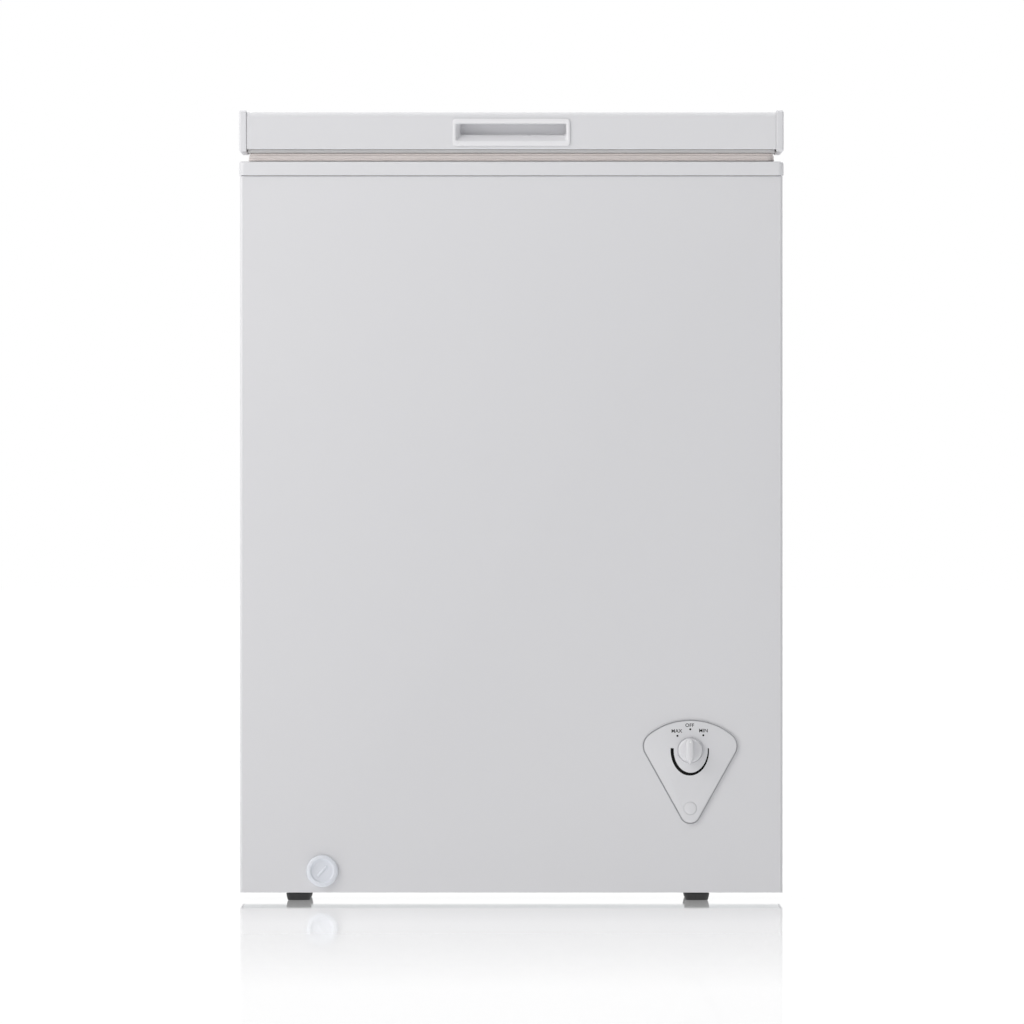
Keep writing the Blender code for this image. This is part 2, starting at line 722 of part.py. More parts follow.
def make_escutcheon_screw():
    """A flat-headed screw in the panel's seat, under a hollow snap-in cap."""
    seat_y = PANEL_BACK - PANEL_THICK + SEAT_DEPTH - GAP
    cap = [(0, 0.0012), (0.0055, 0.0011), (0.0068, 0.0006),
           (0.0068, 0), (0.0046, 0), (0.0046, 0.0007), (0, 0.0007)]
    smooth(turned("escutcheon_screw_cap", cap, (KNOB_X, seat_y, SCREW_Z), TO_FRONT, WHITE_PLASTIC, 24))
    screw = [(0, 0.0004), (0.0038, 0.0004), (0.0038, 0), (0.0019, 0), (0.0019, -0.0100), (0, -0.0100)]
    smooth(turned("escutcheon_screw", screw, (KNOB_X, seat_y, SCREW_Z), TO_FRONT, ZINC, 12))


def make_control_box():
    low = (KNOB_X - 0.034, -0.2580, KNOB_Z - 0.030)
    high = (KNOB_X + 0.034, -0.2150, KNOB_Z + 0.030)
    box = block("control_box", low, high, WHITE_PLASTIC, open_face=(0, 1, 0))
    solidify(box, 0.002)
    cut(box, rods("box_shaft_hole", [(KNOB_X, -0.258, KNOB_Z)], 0.0045, 0.02, TO_FRONT, 16))


def make_thermostat():
    half = 0.017
    low = (KNOB_X - half, -0.2552, KNOB_Z - half)
    high = (KNOB_X + half, -0.2290, KNOB_Z + half)
    block("thermostat_body", low, high, ZINC, 0.002)
    front = -0.2680
    back = -0.2556
    shaft = [(0, 0), (0.0030, 0), (0.0030, front - back), (0, front - back)]
    smooth(turned("thermostat_shaft", shaft, (KNOB_X, front, KNOB_Z), TO_FRONT, ZINC, 14))
    start = (KNOB_X - 0.006, -0.2286, KNOB_Z)
    turn = [(start[0], start[1] + 0.012, start[2]), (start[0] - 0.006, start[1] + 0.022, start[2] + 0.008)]
    end = [(BAY_X + 0.014, -0.150, 0.215), (BAY_X + 0.010, -0.110, 0.236),
           (BAY_X + 0.010, -0.108, BAY_TOP - 0.0006)]
    tube("sensor_tube", [start] + turn + [(0.150, -0.190, 0.190)] + end, 0.0012, COPPER, 1)


def make_control_knob():
    back = PANEL_BACK - PANEL_THICK - GAP
    skirt = [(0, 0.0085), (0.0115, 0.0080), (0.0126, 0.0066),
             (0.0131, 0.0016), (0.0145, 0.0012), (0.0148, 0), (0, 0)]
    knob = turned("control_knob", skirt, (KNOB_X, back, KNOB_Z), TO_FRONT, WHITE_PLASTIC, 32)
    tip = 0.279
    half_w, half_l = 0.0052, 0.0112
    blade = [(half_w, half_l - 0.003), (half_w - 0.003, half_l),
             (-half_w + 0.003, half_l), (-half_w, half_l - 0.003)]
    blade += [(-half_w, -half_l + 0.007), (0, -half_l - 0.0008), (half_w, -half_l + 0.007)]
    deep = tip + back - 0.003
    middle = -tip + deep / 2
    grip = plate("knob_grip", [blade], deep, None, (KNOB_X, middle, KNOB_Z), TO_FRONT)
    bevel(grip, 0.0012, 2)
    bore = rods("knob_bore", [(KNOB_X, back, KNOB_Z)], 0.0034, 0.0104, TO_FRONT, 16)
    join(knob, grip)
    cut(knob, bore)


def make_drain():
    hose_path = drain_path(WELL_FLOOR - LINER - 0.0004, FRONT_Y + SHEET + 0.0005)
    hose = tube("drain_tube", hose_path, 0.0090, DRAIN_PLASTIC)
    hose.data.use_fill_caps = False
    solidify(hose, 0.0018)
    cap = [(0, 0.0048), (0.0110, 0.0044), (0.0128, 0.0050), (0.0158, 0.0050), (0.0172, 0.0036), (0.0172, 0)]
    cap += [(0.0062, 0), (0.0060, -0.024), (0, -0.024)]
    smooth(turned("drain_outlet_cap", cap, (DRAIN_X, FRONT_Y - GAP, DRAIN_Z), TO_FRONT, DRAIN_PLASTIC, 32))
    plug = [(0, 0.0040), (0.0110, 0.0036), (0.0140, 0.0016),
            (0.0140, 0), (0.0062, 0), (0.0060, -0.0105), (0, -0.0105)]
    smooth(turned("drain_inner_plug", plug, (DRAIN_X, DRAIN_Y, WELL_FLOOR + GAP), UPRIGHT, DRAIN_PLASTIC, 20))


# ---------------------------------------------------------------- lid

HANDLE_Z = 0.8264
RECESS = (0.0595, 0.0093)  # half width and half height of the finger recess
BEZEL = (0.0632, 0.0147)
POCKET_BACK = -0.2385
PANEL_LOW = 0.8043
GASKET_LOW = RIM_TOP + 0.0004


def recess_box(name, grow, front, back, material=None):
    low = (-RECESS[0] - grow, front, HANDLE_Z - RECESS[1] - grow)
    high = (RECESS[0] + grow, back, HANDLE_Z + RECESS[1] + grow)
    return block(name, low, high, material)


def make_lid_skin():
    corners = [
        (LID_FRONT + 0.010, LID_LOW),
        (LID_FRONT, LID_LOW),
        (LID_FRONT, LID_TOP),
        (REAR_Y, LID_TOP),
        (REAR_Y, LID_LOW),
        (REAR_Y - 0.010, LID_LOW),
    ]
    low_front = rounded_path(corners[:3], 0.0015, 2)[:-1]
    top = rounded_path(corners[1:5], 0.0050, 4)[1:-1]
    low_rear = rounded_path(corners[3:], 0.0015, 2)[1:]
    path = [(y, z) for y, z in low_front + top + low_rear][::-1]
    skin = folded_sheet("lid_skin", path, -CAP_INNER + GAP, CAP_INNER - GAP, SHEET, WHITE_PAINT, SIDE_ON)
    cut(skin, recess_box("handle_opening", 0.0021, LID_FRONT - 0.01, LID_FRONT + 0.01))


def make_lid_end_caps():
    for name, inner, outer in (("left", -CAP_INNER, -HALF_WIDTH), ("right", CAP_INNER, HALF_WIDTH)):
        low = (min(inner, outer), LID_FRONT - 0.0008, 0.8056)
        high = (max(inner, outer), REAR_Y + 0.0010, HEIGHT)
        block(f"lid_end_cap_{name}", low, high, WHITE_PLASTIC, 0.003)


def make_handle_cup():
    half_x, half_z = BEZEL
    outline = round_rectangle((-half_x, -half_z), (half_x, half_z), 0.0035)
    front = LID_FRONT - GAP
    bezel = plate("handle_cup", [outline], 0.0014, WHITE_PLASTIC, (0, front - 0.0007, HANDLE_Z), TO_FRONT)
    pocket = recess_box("handle_pocket", 0.0016, front - 0.0005, POCKET_BACK)
    hollow = recess_box("handle_hollow", 0, front - 0.01, POCKET_BACK - 0.0018)
    join(bezel, pocket)
    cut(bezel, hollow)


def make_lid_foam():
    low = (-CAP_INNER + 0.001, LID_FRONT + SHEET + GAP, LID_LOW + SHEET + GAP)
    high = (CAP_INNER - 0.001, REAR_Y - SHEET - GAP, LID_TOP - SHEET - GAP)
    foam = block("lid_foam", low, high, FOAM, 0.0055)
    cut(foam, recess_box("handle_space", 0.0020, LID_FRONT - 0.01, POCKET_BACK + 0.0004))


def make_lid_inner_panel():
    low = (-CAP_INNER + 0.0015, LID_FRONT + 0.0045, PANEL_LOW)
    high = (CAP_INNER - 0.0015, REAR_Y - 0.0045, LID_LOW - GAP)
    panel = block("lid_inner_panel", low, high, WHITE_PLASTIC)
    field = [round_rectangle((-0.200, WELL_FRONT + 0.031), (0.200, WELL_REAR - 0.031), 0.018)]
    join(panel, plate("panel_field", field, 0.0045, None, (0, 0, PANEL_LOW - 0.0007)))


def make_lid_gasket():
    x, y0, y1, wide = 0.2828, -0.2530, 0.2360, 0.0135
    span = (GASKET_LOW, PANEL_LOW - GAP)
    ring(
        "lid_gasket", (-x, y0), (x, y1), (-x + wide, y0 + wide), (x - wide, y1 - wide),
        0.008, 0.004, span, GASKET_VINYL
    )


# ---------------------------------------------------------------- hinges

CHEEK_AT = 0.0205  # from a hinge's middle to each cheek's middle plane
CHEEK = 0.0015
PIN_RADIUS = 0.0030
BORE_RADIUS = 0.0034


def make_hinge_bracket(side, x):
    """A U bracket on the rear panel: a back plate and two cheeks that rise behind the rim to hold the pin."""
    plate_y = REAR_Y + GAP
    profile = arc((HINGE_Y, HINGE_Z), 0.015, 0, 180, 8)
    profile += [(HINGE_Y - 0.015, 0.776), (plate_y, 0.772), (plate_y, 0.700), (plate_y + 0.014, 0.700)]
    bracket = block(
        f"hinge_bracket_{side}", (x - CHEEK_AT, plate_y, 0.702), (x + CHEEK_AT, plate_y + 0.0018, 0.770), ZINC
    )
    for number, across in enumerate((-CHEEK_AT, CHEEK_AT), 1):
        cheek = plate(f"cheek_{side}_{number}", [profile[::-1]], CHEEK, None, (x + across, 0, 0), SIDE_ON)
        join(bracket, cheek)
    bore = rods(f"cheek_bore_{side}", [(x, HINGE_Y, HINGE_Z)], BORE_RADIUS, 0.06, TO_RIGHT)
    cut(bracket, bore)


def make_hinge_leaf(side, x):
    """The lid's half: a plate on the lid's rear face, a web, and a barrel round the pin."""
    low, high = x - 0.0165, x + 0.0020
    plate_y = REAR_Y + GAP
    leaf_low, leaf_high = (x - 0.0165, plate_y, 0.8110), (x + 0.0165, plate_y + 0.0018, 0.8430)
    leaf = block(f"hinge_leaf_{side}", leaf_low, leaf_high, ZINC)
    web = block(f"leaf_web_{side}", (low, plate_y, 0.8105), (high, HINGE_Y + 0.002, 0.8123))
    drop_low, drop_high = (low, HINGE_Y - 0.0010, HINGE_Z + 0.0045), (high, HINGE_Y + 0.0020, 0.8115)
    drop = block(f"leaf_drop_{side}", drop_low, drop_high)
    barrel = rods(f"leaf_barrel_{side}", [((low + high) / 2, HINGE_Y, HINGE_Z)], 0.0062, high - low, TO_RIGHT)
    join(leaf, web, drop, barrel)
    cut(leaf, rods(f"leaf_bore_{side}", [(x, HINGE_Y, HINGE_Z)], BORE_RADIUS, 0.06, TO_RIGHT))


def make_hinge_pin(side, x):
    reach = CHEEK_AT + CHEEK / 2 + GAP
    head = reach + 0.0018
    profile = [(0, head), (0.0038, head), (0.0046, head - 0.0006), (0.0046, reach), (PIN_RADIUS, reach)]
    profile += [(PIN_RADIUS, -reach), (0.0046, -reach), (0.0046, -head + 0.0006), (0.0038, -head), (0, -head)]
    smooth(turned(f"hinge_pin_{side}", profile, (x, HINGE_Y, HINGE_Z), TO_RIGHT, ZINC, 16))


def make_hinge_spring(side, x):
    """The balancing spring: a coil round the pin beside the barrel, with a leg down on the back plate."""
    wire = 0.0011
    coil = 0.0062
    turns, per_turn = 5, 10
    first, last = x + 0.0040, x + 0.0175
    count = turns * per_turn
    points = []
    for i in range(count + 1):
        angle = math.radians(-90) + 2 * math.pi * i / per_turn
        across = first + (last - first) * i / count
        points.append((across, HINGE_Y + coil * math.cos(angle), HINGE_Z + coil * math.sin(angle)))
    leg = [(first, HINGE_Y - 0.0100, 0.760), (first, HINGE_Y - 0.0060, HINGE_Z - 0.010)]
    tube(f"hinge_spring_{side}", leg + points, wire, ZINC, 1)


# ---------------------------------------------------------------- basket

BASKET_X = (0.022, 0.222)
BASKET_Y = (-0.188, 0.172)
BASKET_Z = (0.610, 0.7920)
BASKET_CELLS = (3, 6, 3)
WIRE = 0.0032
HOOK_REACH = 0.031


def basket_windows(axis):
    """The openings between the wires, as boxes that pass through the basket along an axis."""
    spans = (BASKET_X, BASKET_Y, BASKET_Z)
    across = [i for i in range(3) if i != axis]
    pitch = [(high - low - WIRE) / count for (low, high), count in zip(spans, BASKET_CELLS)]
    size = [step - WIRE for step in pitch]
    through = spans[axis][1] - spans[axis][0]
    size[axis] = through + 0.02 if axis < 2 else 0.02
    centres = []
    for i in range(BASKET_CELLS[across[0]]):
        for j in range(BASKET_CELLS[across[1]]):
            centre = [0.0, 0.0, 0.0]
            centre[axis] = spans[axis][0] + (through / 2 if axis < 2 else 0)
            for side, step in zip(across, (i, j)):
                centre[side] = spans[side][0] + WIRE / 2 + pitch[side] * (step + 0.5)
            centres.append(centre)
    return blocks(f"basket_windows_{axis}", centres, size)


def make_storage_basket():
    """A wire basket: a welded net on five sides, and two hooks on each long side that lie on the rim."""
    (x0, x1), (y0, y1), (z0, z1) = BASKET_X, BASKET_Y, BASKET_Z
    basket = block("storage_basket", (x0, y0, z0), (x1, y1, z1), WHITE_PLASTIC)
    inside = block("basket_inside", (x0 + WIRE, y0 + WIRE, z0 + WIRE), (x1 - WIRE, y1 - WIRE, z1 + 0.01))
    cut(basket, inside, basket_windows(0), basket_windows(1), basket_windows(2))
    hook_low, hook_high = RIM_TOP + 0.0004, RIM_TOP + 0.0036
    corners = [(x, y, out) for x in (x0 + 0.040, x1 - 0.040) for y, out in ((y0, -1), (y1, 1))]
    for number, (x, y, out) in enumerate(corners, 1):
        tip, back, inner = y + out * HOOK_REACH, y - out * 0.0026, y - out * 0.0006
        foot = z1 - 0.0011
        hook = [(back, foot), (inner, foot), (inner, hook_low),
                (tip, hook_low), (tip, hook_high), (back, hook_high)]
        join(basket, plate(f"basket_hook_{number}", [hook], 0.0036, None, (x, 0, 0), SIDE_ON))


def make_hinges():
    for side, x in zip(("left", "right"), HINGE_X):
        make_hinge_bracket(side, x)
        make_hinge_leaf(side, x)
        make_hinge_pin(side, x)
        make_hinge_spring(side, x)


def make_cabinet():
    make_cabinet_wrapper()
    make_rear_panel()
    make_rear_access_cover()
    make_cover_screws()
    make_cord_gland()
    make_base_pan()
    make_feet()
    make_rim_trim()
    make_inner_liner()
    make_insulation_foam()
    make_vent_grille()


def make_cooling_circuit():
    make_evaporator_coil()
    make_condenser_coil()
    make_compressor()
    make_compressor_mount()
    make_terminal_cover()
    make_pipes()


def make_controls():
    make_control_escutcheon()
    make_escutcheon_screw()
    make_control_box()
    make_thermostat()
    make_control_knob()
    make_drain()


def make_lid():
    make_lid_skin()
    make_lid_end_caps()
    make_handle_cup()
    make_lid_foam()
    make_lid_inner_panel()
    make_lid_gasket()
    make_hinges()


make_cabinet()
make_cooling_circuit()
make_controls()
make_lid()
make_storage_basket()
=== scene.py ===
"""A small white chest freezer: its looks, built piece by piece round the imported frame, in metres."""

import json
import math

import bmesh
import bpy
from mathutils import Matrix, Vector


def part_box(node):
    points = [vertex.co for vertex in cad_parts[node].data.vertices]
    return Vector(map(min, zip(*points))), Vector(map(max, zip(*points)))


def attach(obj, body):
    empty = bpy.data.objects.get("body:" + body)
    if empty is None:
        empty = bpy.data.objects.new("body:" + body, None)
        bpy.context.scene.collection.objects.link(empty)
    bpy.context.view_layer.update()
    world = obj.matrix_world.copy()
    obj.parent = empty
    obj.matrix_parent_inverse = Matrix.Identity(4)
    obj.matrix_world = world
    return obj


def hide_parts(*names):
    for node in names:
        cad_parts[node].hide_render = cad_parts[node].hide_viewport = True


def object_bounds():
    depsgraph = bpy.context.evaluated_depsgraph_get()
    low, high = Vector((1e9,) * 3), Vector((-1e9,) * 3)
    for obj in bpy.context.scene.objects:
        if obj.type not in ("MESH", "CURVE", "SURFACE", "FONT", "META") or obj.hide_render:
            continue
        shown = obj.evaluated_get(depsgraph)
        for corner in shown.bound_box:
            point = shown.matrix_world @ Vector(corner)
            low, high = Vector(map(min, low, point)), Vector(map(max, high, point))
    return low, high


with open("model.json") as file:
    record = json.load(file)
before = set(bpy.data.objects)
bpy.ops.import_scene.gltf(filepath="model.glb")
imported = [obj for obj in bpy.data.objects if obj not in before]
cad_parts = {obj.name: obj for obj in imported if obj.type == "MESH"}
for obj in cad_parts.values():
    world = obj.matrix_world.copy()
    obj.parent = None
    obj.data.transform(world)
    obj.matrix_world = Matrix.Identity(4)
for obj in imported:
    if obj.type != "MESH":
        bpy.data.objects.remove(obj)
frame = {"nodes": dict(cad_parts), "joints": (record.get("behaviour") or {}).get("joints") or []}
packed_low, packed_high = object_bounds()
scene = bpy.context.scene


# ---------------------------------------------------------------- studio
# A white floor that glows, less near the freezer, as painted light and painted shade, with a sheen that dies
# away from the freezer, a white surround, wide soft lights overhead, behind and at the upper left, and a
# level lens of narrow view set far in front.

FRAMED = packed_high.z * 1.2962  # height that the picture takes in at the freezer's front
EYE = packed_high.z * 0.4916  # height of the lens above the floor
AWAY = 50.0  # from the lens to the freezer's front


def placed(name, data):
    """A new object for a mesh, curve, lamp or camera, linked to the scene."""
    made = bpy.data.objects.new(name, data)
    scene.collection.objects.link(made)
    return made


def node(tree, kind, **values):
    """A shader node whose inputs are set by name."""
    made = tree.nodes.new("ShaderNode" + kind)
    for name, value in values.items():
        made.inputs[name.replace("_", " ")].default_value = value
    return made


def wired(tree, *links):
    """Links sockets of shader nodes: from a node's output to another node's input."""
    for source, output, target, into in links:
        tree.links.new(source.outputs[output], target.inputs[into])


scene.view_settings.view_transform = "Standard"
camera_data = bpy.data.cameras.new("camera")
camera_data.lens = camera_data.sensor_width * AWAY / FRAMED
camera_data.clip_end = 300.0
camera = placed("camera", camera_data)
camera.location = (0.0007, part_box("cabinet_wrapper")[0].y - AWAY, EYE)
camera.rotation_euler = (math.radians(90), 0, 0)
scene.camera = camera

surround = bpy.data.worlds.new("white_surround")
surround.use_nodes = True
scene.world = surround
tree = surround.node_tree
seen = tree.nodes["Background"]
seen.inputs["Color"].default_value = (1, 1, 1, 1)
seen.inputs["Strength"].default_value = 1.0
lighting = node(tree, "Background", Color=(0.97, 0.98, 1.0, 1), Strength=0.11)
rays = node(tree, "LightPath")
choice = node(tree, "MixShader")
wired(tree, (rays, "Is Diffuse Ray", choice, "Fac"), (seen, 0, choice, 1), (lighting, 0, choice, 2),
      (choice, 0, tree.nodes["World Output"], "Surface"))


def soft_light(name, place, aim, width, power, colour):
    """A square lamp that isn't seen itself."""
    lamp = bpy.data.lights.new(name, "AREA")
    lamp.size = width
    lamp.energy = power
    lamp.color = colour
    made = placed(name, lamp)
    made.location = place
    made.rotation_euler = (Vector(aim) - Vector(place)).to_track_quat("-Z", "Y").to_euler()
    made.visible_camera = False


soft_light("overhead_light", (0, -0.3, 3.4), (0, -0.3, 0), 4.5, 80, (1, 1, 1))
soft_light("rear_light", (1.6, 3.6, 2.4), (0, 0, 0.45), 2.2, 38, (1, 1, 1))
soft_light("left_light", (-2.7, -2.1, 2.1), (0, 0, 0.45), 2.2, 60, (1.0, 0.98, 0.965))

floor_mesh = bpy.data.meshes.new("floor")
reach = 200.0
corners = [(-reach, -reach, 0), (reach, -reach, 0), (reach, reach, 0), (-reach, reach, 0)]
floor_mesh.from_pydata(corners, [], [(0, 1, 2, 3)])
placed("floor", floor_mesh)
floor_finish = bpy.data.materials.new("floor")
floor_finish.use_nodes = True
tree = floor_finish.node_tree
tree.nodes.remove(tree.nodes["Principled BSDF"])
matt = node(tree, "BsdfDiffuse", Color=(0.35, 0.35, 0.35, 1))
# The floor glows: painted light that keeps the far floor white where the lamps fall off, weaker near the
# freezer, which is painted shade there and under it.
floor_glow_painted_light = node(tree, "Emission")
white = node(tree, "AddShader")
gloss = node(tree, "BsdfGlossy", Color=(1, 1, 1, 1), Roughness=0.02)
place = node(tree, "TexCoord")
distance = node(tree, "VectorMath")
distance.operation = "LENGTH"
painted_glow_by_distance = node(tree, "MapRange", From_Min=0.35, From_Max=3.00, To_Min=0.78, To_Max=0.99)
fade = node(tree, "MapRange", From_Min=0.26, From_Max=9.50, To_Min=0.86, To_Max=0.12)
grazing = node(tree, "Fresnel", IOR=1.40)
share = node(tree, "Math")
share.operation = "MULTIPLY"
sheen = node(tree, "MixShader")
wired(tree, (matt, 0, white, 0), (floor_glow_painted_light, 0, white, 1), (place, "Object", distance, 0),
      (distance, "Value", fade, "Value"), (distance, "Value", painted_glow_by_distance, "Value"),
      (painted_glow_by_distance, "Result", floor_glow_painted_light, "Strength"), (fade, "Result", share, 0), (grazing, "Fac", share, 1),
      (share, "Value", sheen, "Fac"), (white, 0, sheen, 1), (gloss, 0, sheen, 2),
      (sheen, 0, tree.nodes["Material Output"], "Surface"))
floor_mesh.materials.append(floor_finish)


# ---------------------------------------------------------------- base pan
# The freezer stands on a shallow tray of galvanised steel, pressed with an upturned edge all round.
# The wrapper is folded round it, so only its underside shows.


def loft(loops, closed=True, around=False, capped=True):
    """A mesh of quads between loops of points: around joins the last loop to the first one."""
    count = len(loops[0])
    rows = len(loops) if around else len(loops) - 1
    columns = count if closed else count - 1
    faces = []
    for i in range(rows):
        start, other = i * count, (i + 1) % len(loops) * count
        for j in range(columns):
            beside = (j + 1) % count
            faces.append((start + j, start + beside, other + beside, other + j))
    if capped and not around:
        faces.append(tuple(range(count))[::-1])
        faces.append(tuple(range((len(loops) - 1) * count, len(loops) * count)))
    mesh = bpy.data.meshes.new("loft")
    mesh.from_pydata([tuple(p) for loop in loops for p in loop], [], faces)
    shape = bmesh.new()
    shape.from_mesh(mesh)
    bmesh.ops.remove_doubles(shape, verts=shape.verts, dist=1e-7)
    bmesh.ops.recalc_face_normals(shape, faces=shape.faces)
    shape.to_mesh(mesh)
    shape.free()
    return mesh


def arc(centre, radius, start, end, steps):
    """Points of an arc between two angles in degrees, both ends included."""
    turns = [math.radians(start + (end - start) * i / steps) for i in range(steps + 1)]
    return [(centre[0] + radius * math.cos(t), centre[1] + radius * math.sin(t)) for t in turns]


def round_rectangle(low, high, radius, steps=6):
    """A rectangle's outline with round corners, anticlockwise."""
    centres = [(high[0] - radius, high[1] - radius), (low[0] + radius, high[1] - radius)]
    centres += [(low[0] + radius, low[1] + radius), (high[0] - radius, low[1] + radius)]
    return [p for i, c in enumerate(centres) for p in arc(c, radius, 90 * i, 90 * i + 90, steps)]


def level_loop(low, high, inward, z, radius, steps=6):
    """A level loop round the plan of a box, drawn in by a margin."""
    inner, outer = (low.x + inward, low.y + inward), (high.x - inward, high.y - inward)
    return [(x, y, z) for x, y in round_rectangle(inner, outer, radius, steps)]


def surface(name, colour, roughness, metallic=0.0, coat=0.0, mottle=0.03, cloud=7.0, grain=0.0, size=0.002,
            pattern="noise", uneven=0.04, warm=(1, 1, 1), specular=0.5):
    """A finish whose colour and gloss drift in soft clouds, with a fine relief of the given grain size."""
    made = bpy.data.materials.new(name)
    made.use_nodes = True
    tree = made.node_tree
    shader = tree.nodes["Principled BSDF"]
    shader.inputs["Metallic"].default_value = metallic
    shader.inputs["Coat Weight"].default_value = coat
    shader.inputs["Coat Roughness"].default_value = 0.16
    shader.inputs["Specular IOR Level"].default_value = specular
    place = node(tree, "TexCoord")
    clouds = node(tree, "TexNoise", Scale=cloud, Detail=4.0)
    tint = node(tree, "Mix")
    tint.data_type = "RGBA"
    tint.inputs["A"].default_value = (*[c * (1 - mottle) for c in colour], 1)
    tint.inputs["B"].default_value = (*[min(1.0, c * (1 + mottle) * w) for c, w in zip(colour, warm)], 1)
    gloss = node(tree, "MapRange", From_Min=0.3, From_Max=0.7, To_Min=max(0.03, roughness - uneven),
                 To_Max=roughness + uneven)
    wired(tree, (place, "Object", clouds, "Vector"), (clouds, "Fac", tint, "Factor"),
          (tint, "Result", shader, "Base Color"), (clouds, "Fac", gloss, "Value"),
          (gloss, "Result", shader, "Roughness"))
    if grain:
        relief = node(tree, "TexVoronoi" if pattern == "cells" else "TexNoise", Scale=1.0 / size)
        bump = node(tree, "Bump", Strength=grain, Distance=size * 0.25)
        if pattern == "cells":
            relief.feature = "SMOOTH_F1"
        else:
            relief.inputs["Detail"].default_value = 3.0
        height = "Distance" if pattern == "cells" else "Fac"
        wired(tree, (place, "Object", relief, "Vector"), (relief, height, bump, "Height"),
              (bump, "Normal", shader, "Normal"))
    return made


def piece(name, mesh, finish, body, slot, *stands_for, crease=32):
    """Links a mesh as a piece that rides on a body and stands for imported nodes."""
    made = placed(name, mesh)
    mesh.materials.clear()
    mesh.materials.append(finish)
    mesh.shade_smooth()
    mesh.set_sharp_from_angle(angle=math.radians(crease))
    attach(made, body)
    if stands_for:
        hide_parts(*stands_for)
    return made


def dress(finish, *nodes):
    """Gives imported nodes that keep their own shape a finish."""
    for name in nodes:
        packed = frame["nodes"][name]
        if not packed.data.materials:
            packed.data.materials.append(finish)
        for slot in packed.material_slots:
            slot.material = finish


def spangle(made, size):
    """Adds the crystal pattern of hot-dip zinc to a finish."""
    tree = made.node_tree
    shader = tree.nodes["Principled BSDF"]
    tint = shader.inputs["Base Color"].links[0].from_node
    place = next(n for n in tree.nodes if n.bl_idname == "ShaderNodeTexCoord")
    cells = node(tree, "TexVoronoi", Scale=1.0 / size)
    grey = node(tree, "SeparateColor")
    spread = node(tree, "MapRange", To_Min=0.78, To_Max=1.12)
    shade = node(tree, "VectorMath")
    shade.operation = "SCALE"
    wired(tree, (place, "Object", cells, "Vector"), (cells, "Color", grey, 0), (grey, 0, spread, "Value"),
          (tint, "Result", shade, 0), (spread, "Result", shade, "Scale"),
          (shade, "Vector", shader, "Base Color"))
    return made


galvanised = spangle(surface("galvanised_steel", (0.55, 0.57, 0.59), 0.38, 0.9, mottle=0.06, uneven=0.1),
                     0.006)
pan_low, pan_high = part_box("base_pan")
sheet = 0.001
edge = 0.0030
outside = [(0, pan_high.z), (0, pan_low.z + edge), (-edge * 0.3, pan_low.z + edge * 0.3), (-edge, pan_low.z)]
inside = [(-edge, pan_low.z + sheet), (-edge * 0.6, pan_low.z + edge * 0.6), (-sheet, pan_low.z + edge)]
inside.append((-sheet, pan_high.z))
edges = outside[::-1] + inside[::-1]
pan = loft([level_loop(pan_low, pan_high, -grow, z, 0.004 + grow) for grow, z in edges])
piece("base_pan_pressing", pan, galvanised, "cabinet", "zinc", "base_pan")


# ---------------------------------------------------------------- feet
# Four low round feet of hard black plastic, moulded hollow with ribs under a flat pad, screwed up
# into the base pan. They widen upwards and lift the cabinet by a finger's breadth.


def lathe(profile, place=(0, 0, 0), turn=None, steps=48):
    """A turned shape from (radius, height) pairs, its axis along Z before turn."""
    move = Matrix.Translation(place) @ (turn or Matrix.Identity(4))
    loops = []
    for radius, height in profile:
        angles = [2 * math.pi * i / steps for i in range(steps)]
        loops.append([move @ Vector((radius * math.cos(a), radius * math.sin(a), height)) for a in angles])
    return loft(loops, capped=False)


def joined(*meshes):
    """One mesh from several."""
    shape = bmesh.new()
    for mesh in meshes:
        shape.from_mesh(mesh)
        bpy.data.meshes.remove(mesh)
    made = bpy.data.meshes.new("joined")
    shape.to_mesh(made)
    shape.free()
    return made


foot_black = surface("foot_plastic", (0.018, 0.018, 0.019), 0.55, mottle=0.2, grain=0.25, size=0.0008)
for name in ("foot_front_left", "foot_front_right", "foot_rear_left", "foot_rear_right"):
    foot_low, foot_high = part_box(name)
    middle = (foot_low + foot_high) / 2
    tall = foot_high.z
    wide = foot_high.x - middle.x
    profile = [(0, tall), (wide - 0.0006, tall), (wide, tall - 0.0005), (wide, tall - 0.0016)]
    profile += [(wide - 0.0012, 0.0012), (wide - 0.0016, 0.0004), (wide - 0.0023, 0), (wide - 0.0060, 0)]
    profile += [(wide - 0.0063, 0.0010), (0.0032, 0.0010), (0.0028, 0.0030), (0, 0.0030)]
    foot = lathe(profile, (middle.x, middle.y, 0))
    piece(f"{name}_moulding", foot, foot_black, "cabinet", "black_rubber", name)


# ---------------------------------------------------------------- cabinet wrapper
# One long sheet of steel, coil-coated white, folded round the left side, the front and the right
# side and a little way behind. Its upright corners are tight bends and its gloss has a slight
# orange peel. Holes for the controls, the drain and the side vent are punched before it is folded.


def rounded_path(corners, radius, steps=6):
    """An open path with each inner corner turned into an arc."""
    path = [Vector(corners[0])]
    for before, here, after in zip(corners, corners[1:], corners[2:]):
        here = Vector(here)
        back, on = (Vector(before) - here).normalized(), (Vector(after) - here).normalized()
        centre = here + (back + on) * radius
        first, last = here + back * radius - centre, here + on * radius - centre
        for i in range(steps + 1):
            turn = i / steps * math.pi / 2
            path.append(centre + first * math.cos(turn) + last * math.sin(turn))
    path.append(Vector(corners[-1]))
    return path


def thickened(path, thick):
    """The closed outline of a sheet that follows a path, its thickness on the path's left."""
    inside = []
    for i, point in enumerate(path):
        before = (point - path[i - 1]).normalized() if i else None
        after = (path[i + 1] - point).normalized() if i + 1 < len(path) else None
        along = ((before or after) + (after or before)).normalized()
        lean = (before or after).dot(along)
        inside.append(point + Vector((-along.y, along.x)) * thick / lean)
    return list(path) + inside[::-1]


def settled(thing):
    """The mesh that an object's modifiers or curve amount to. The object is removed."""
    bpy.context.view_layer.update()
    mesh = bpy.data.meshes.new_from_object(thing.evaluated_get(bpy.context.evaluated_depsgraph_get()))
    bpy.data.objects.remove(thing)
    return mesh


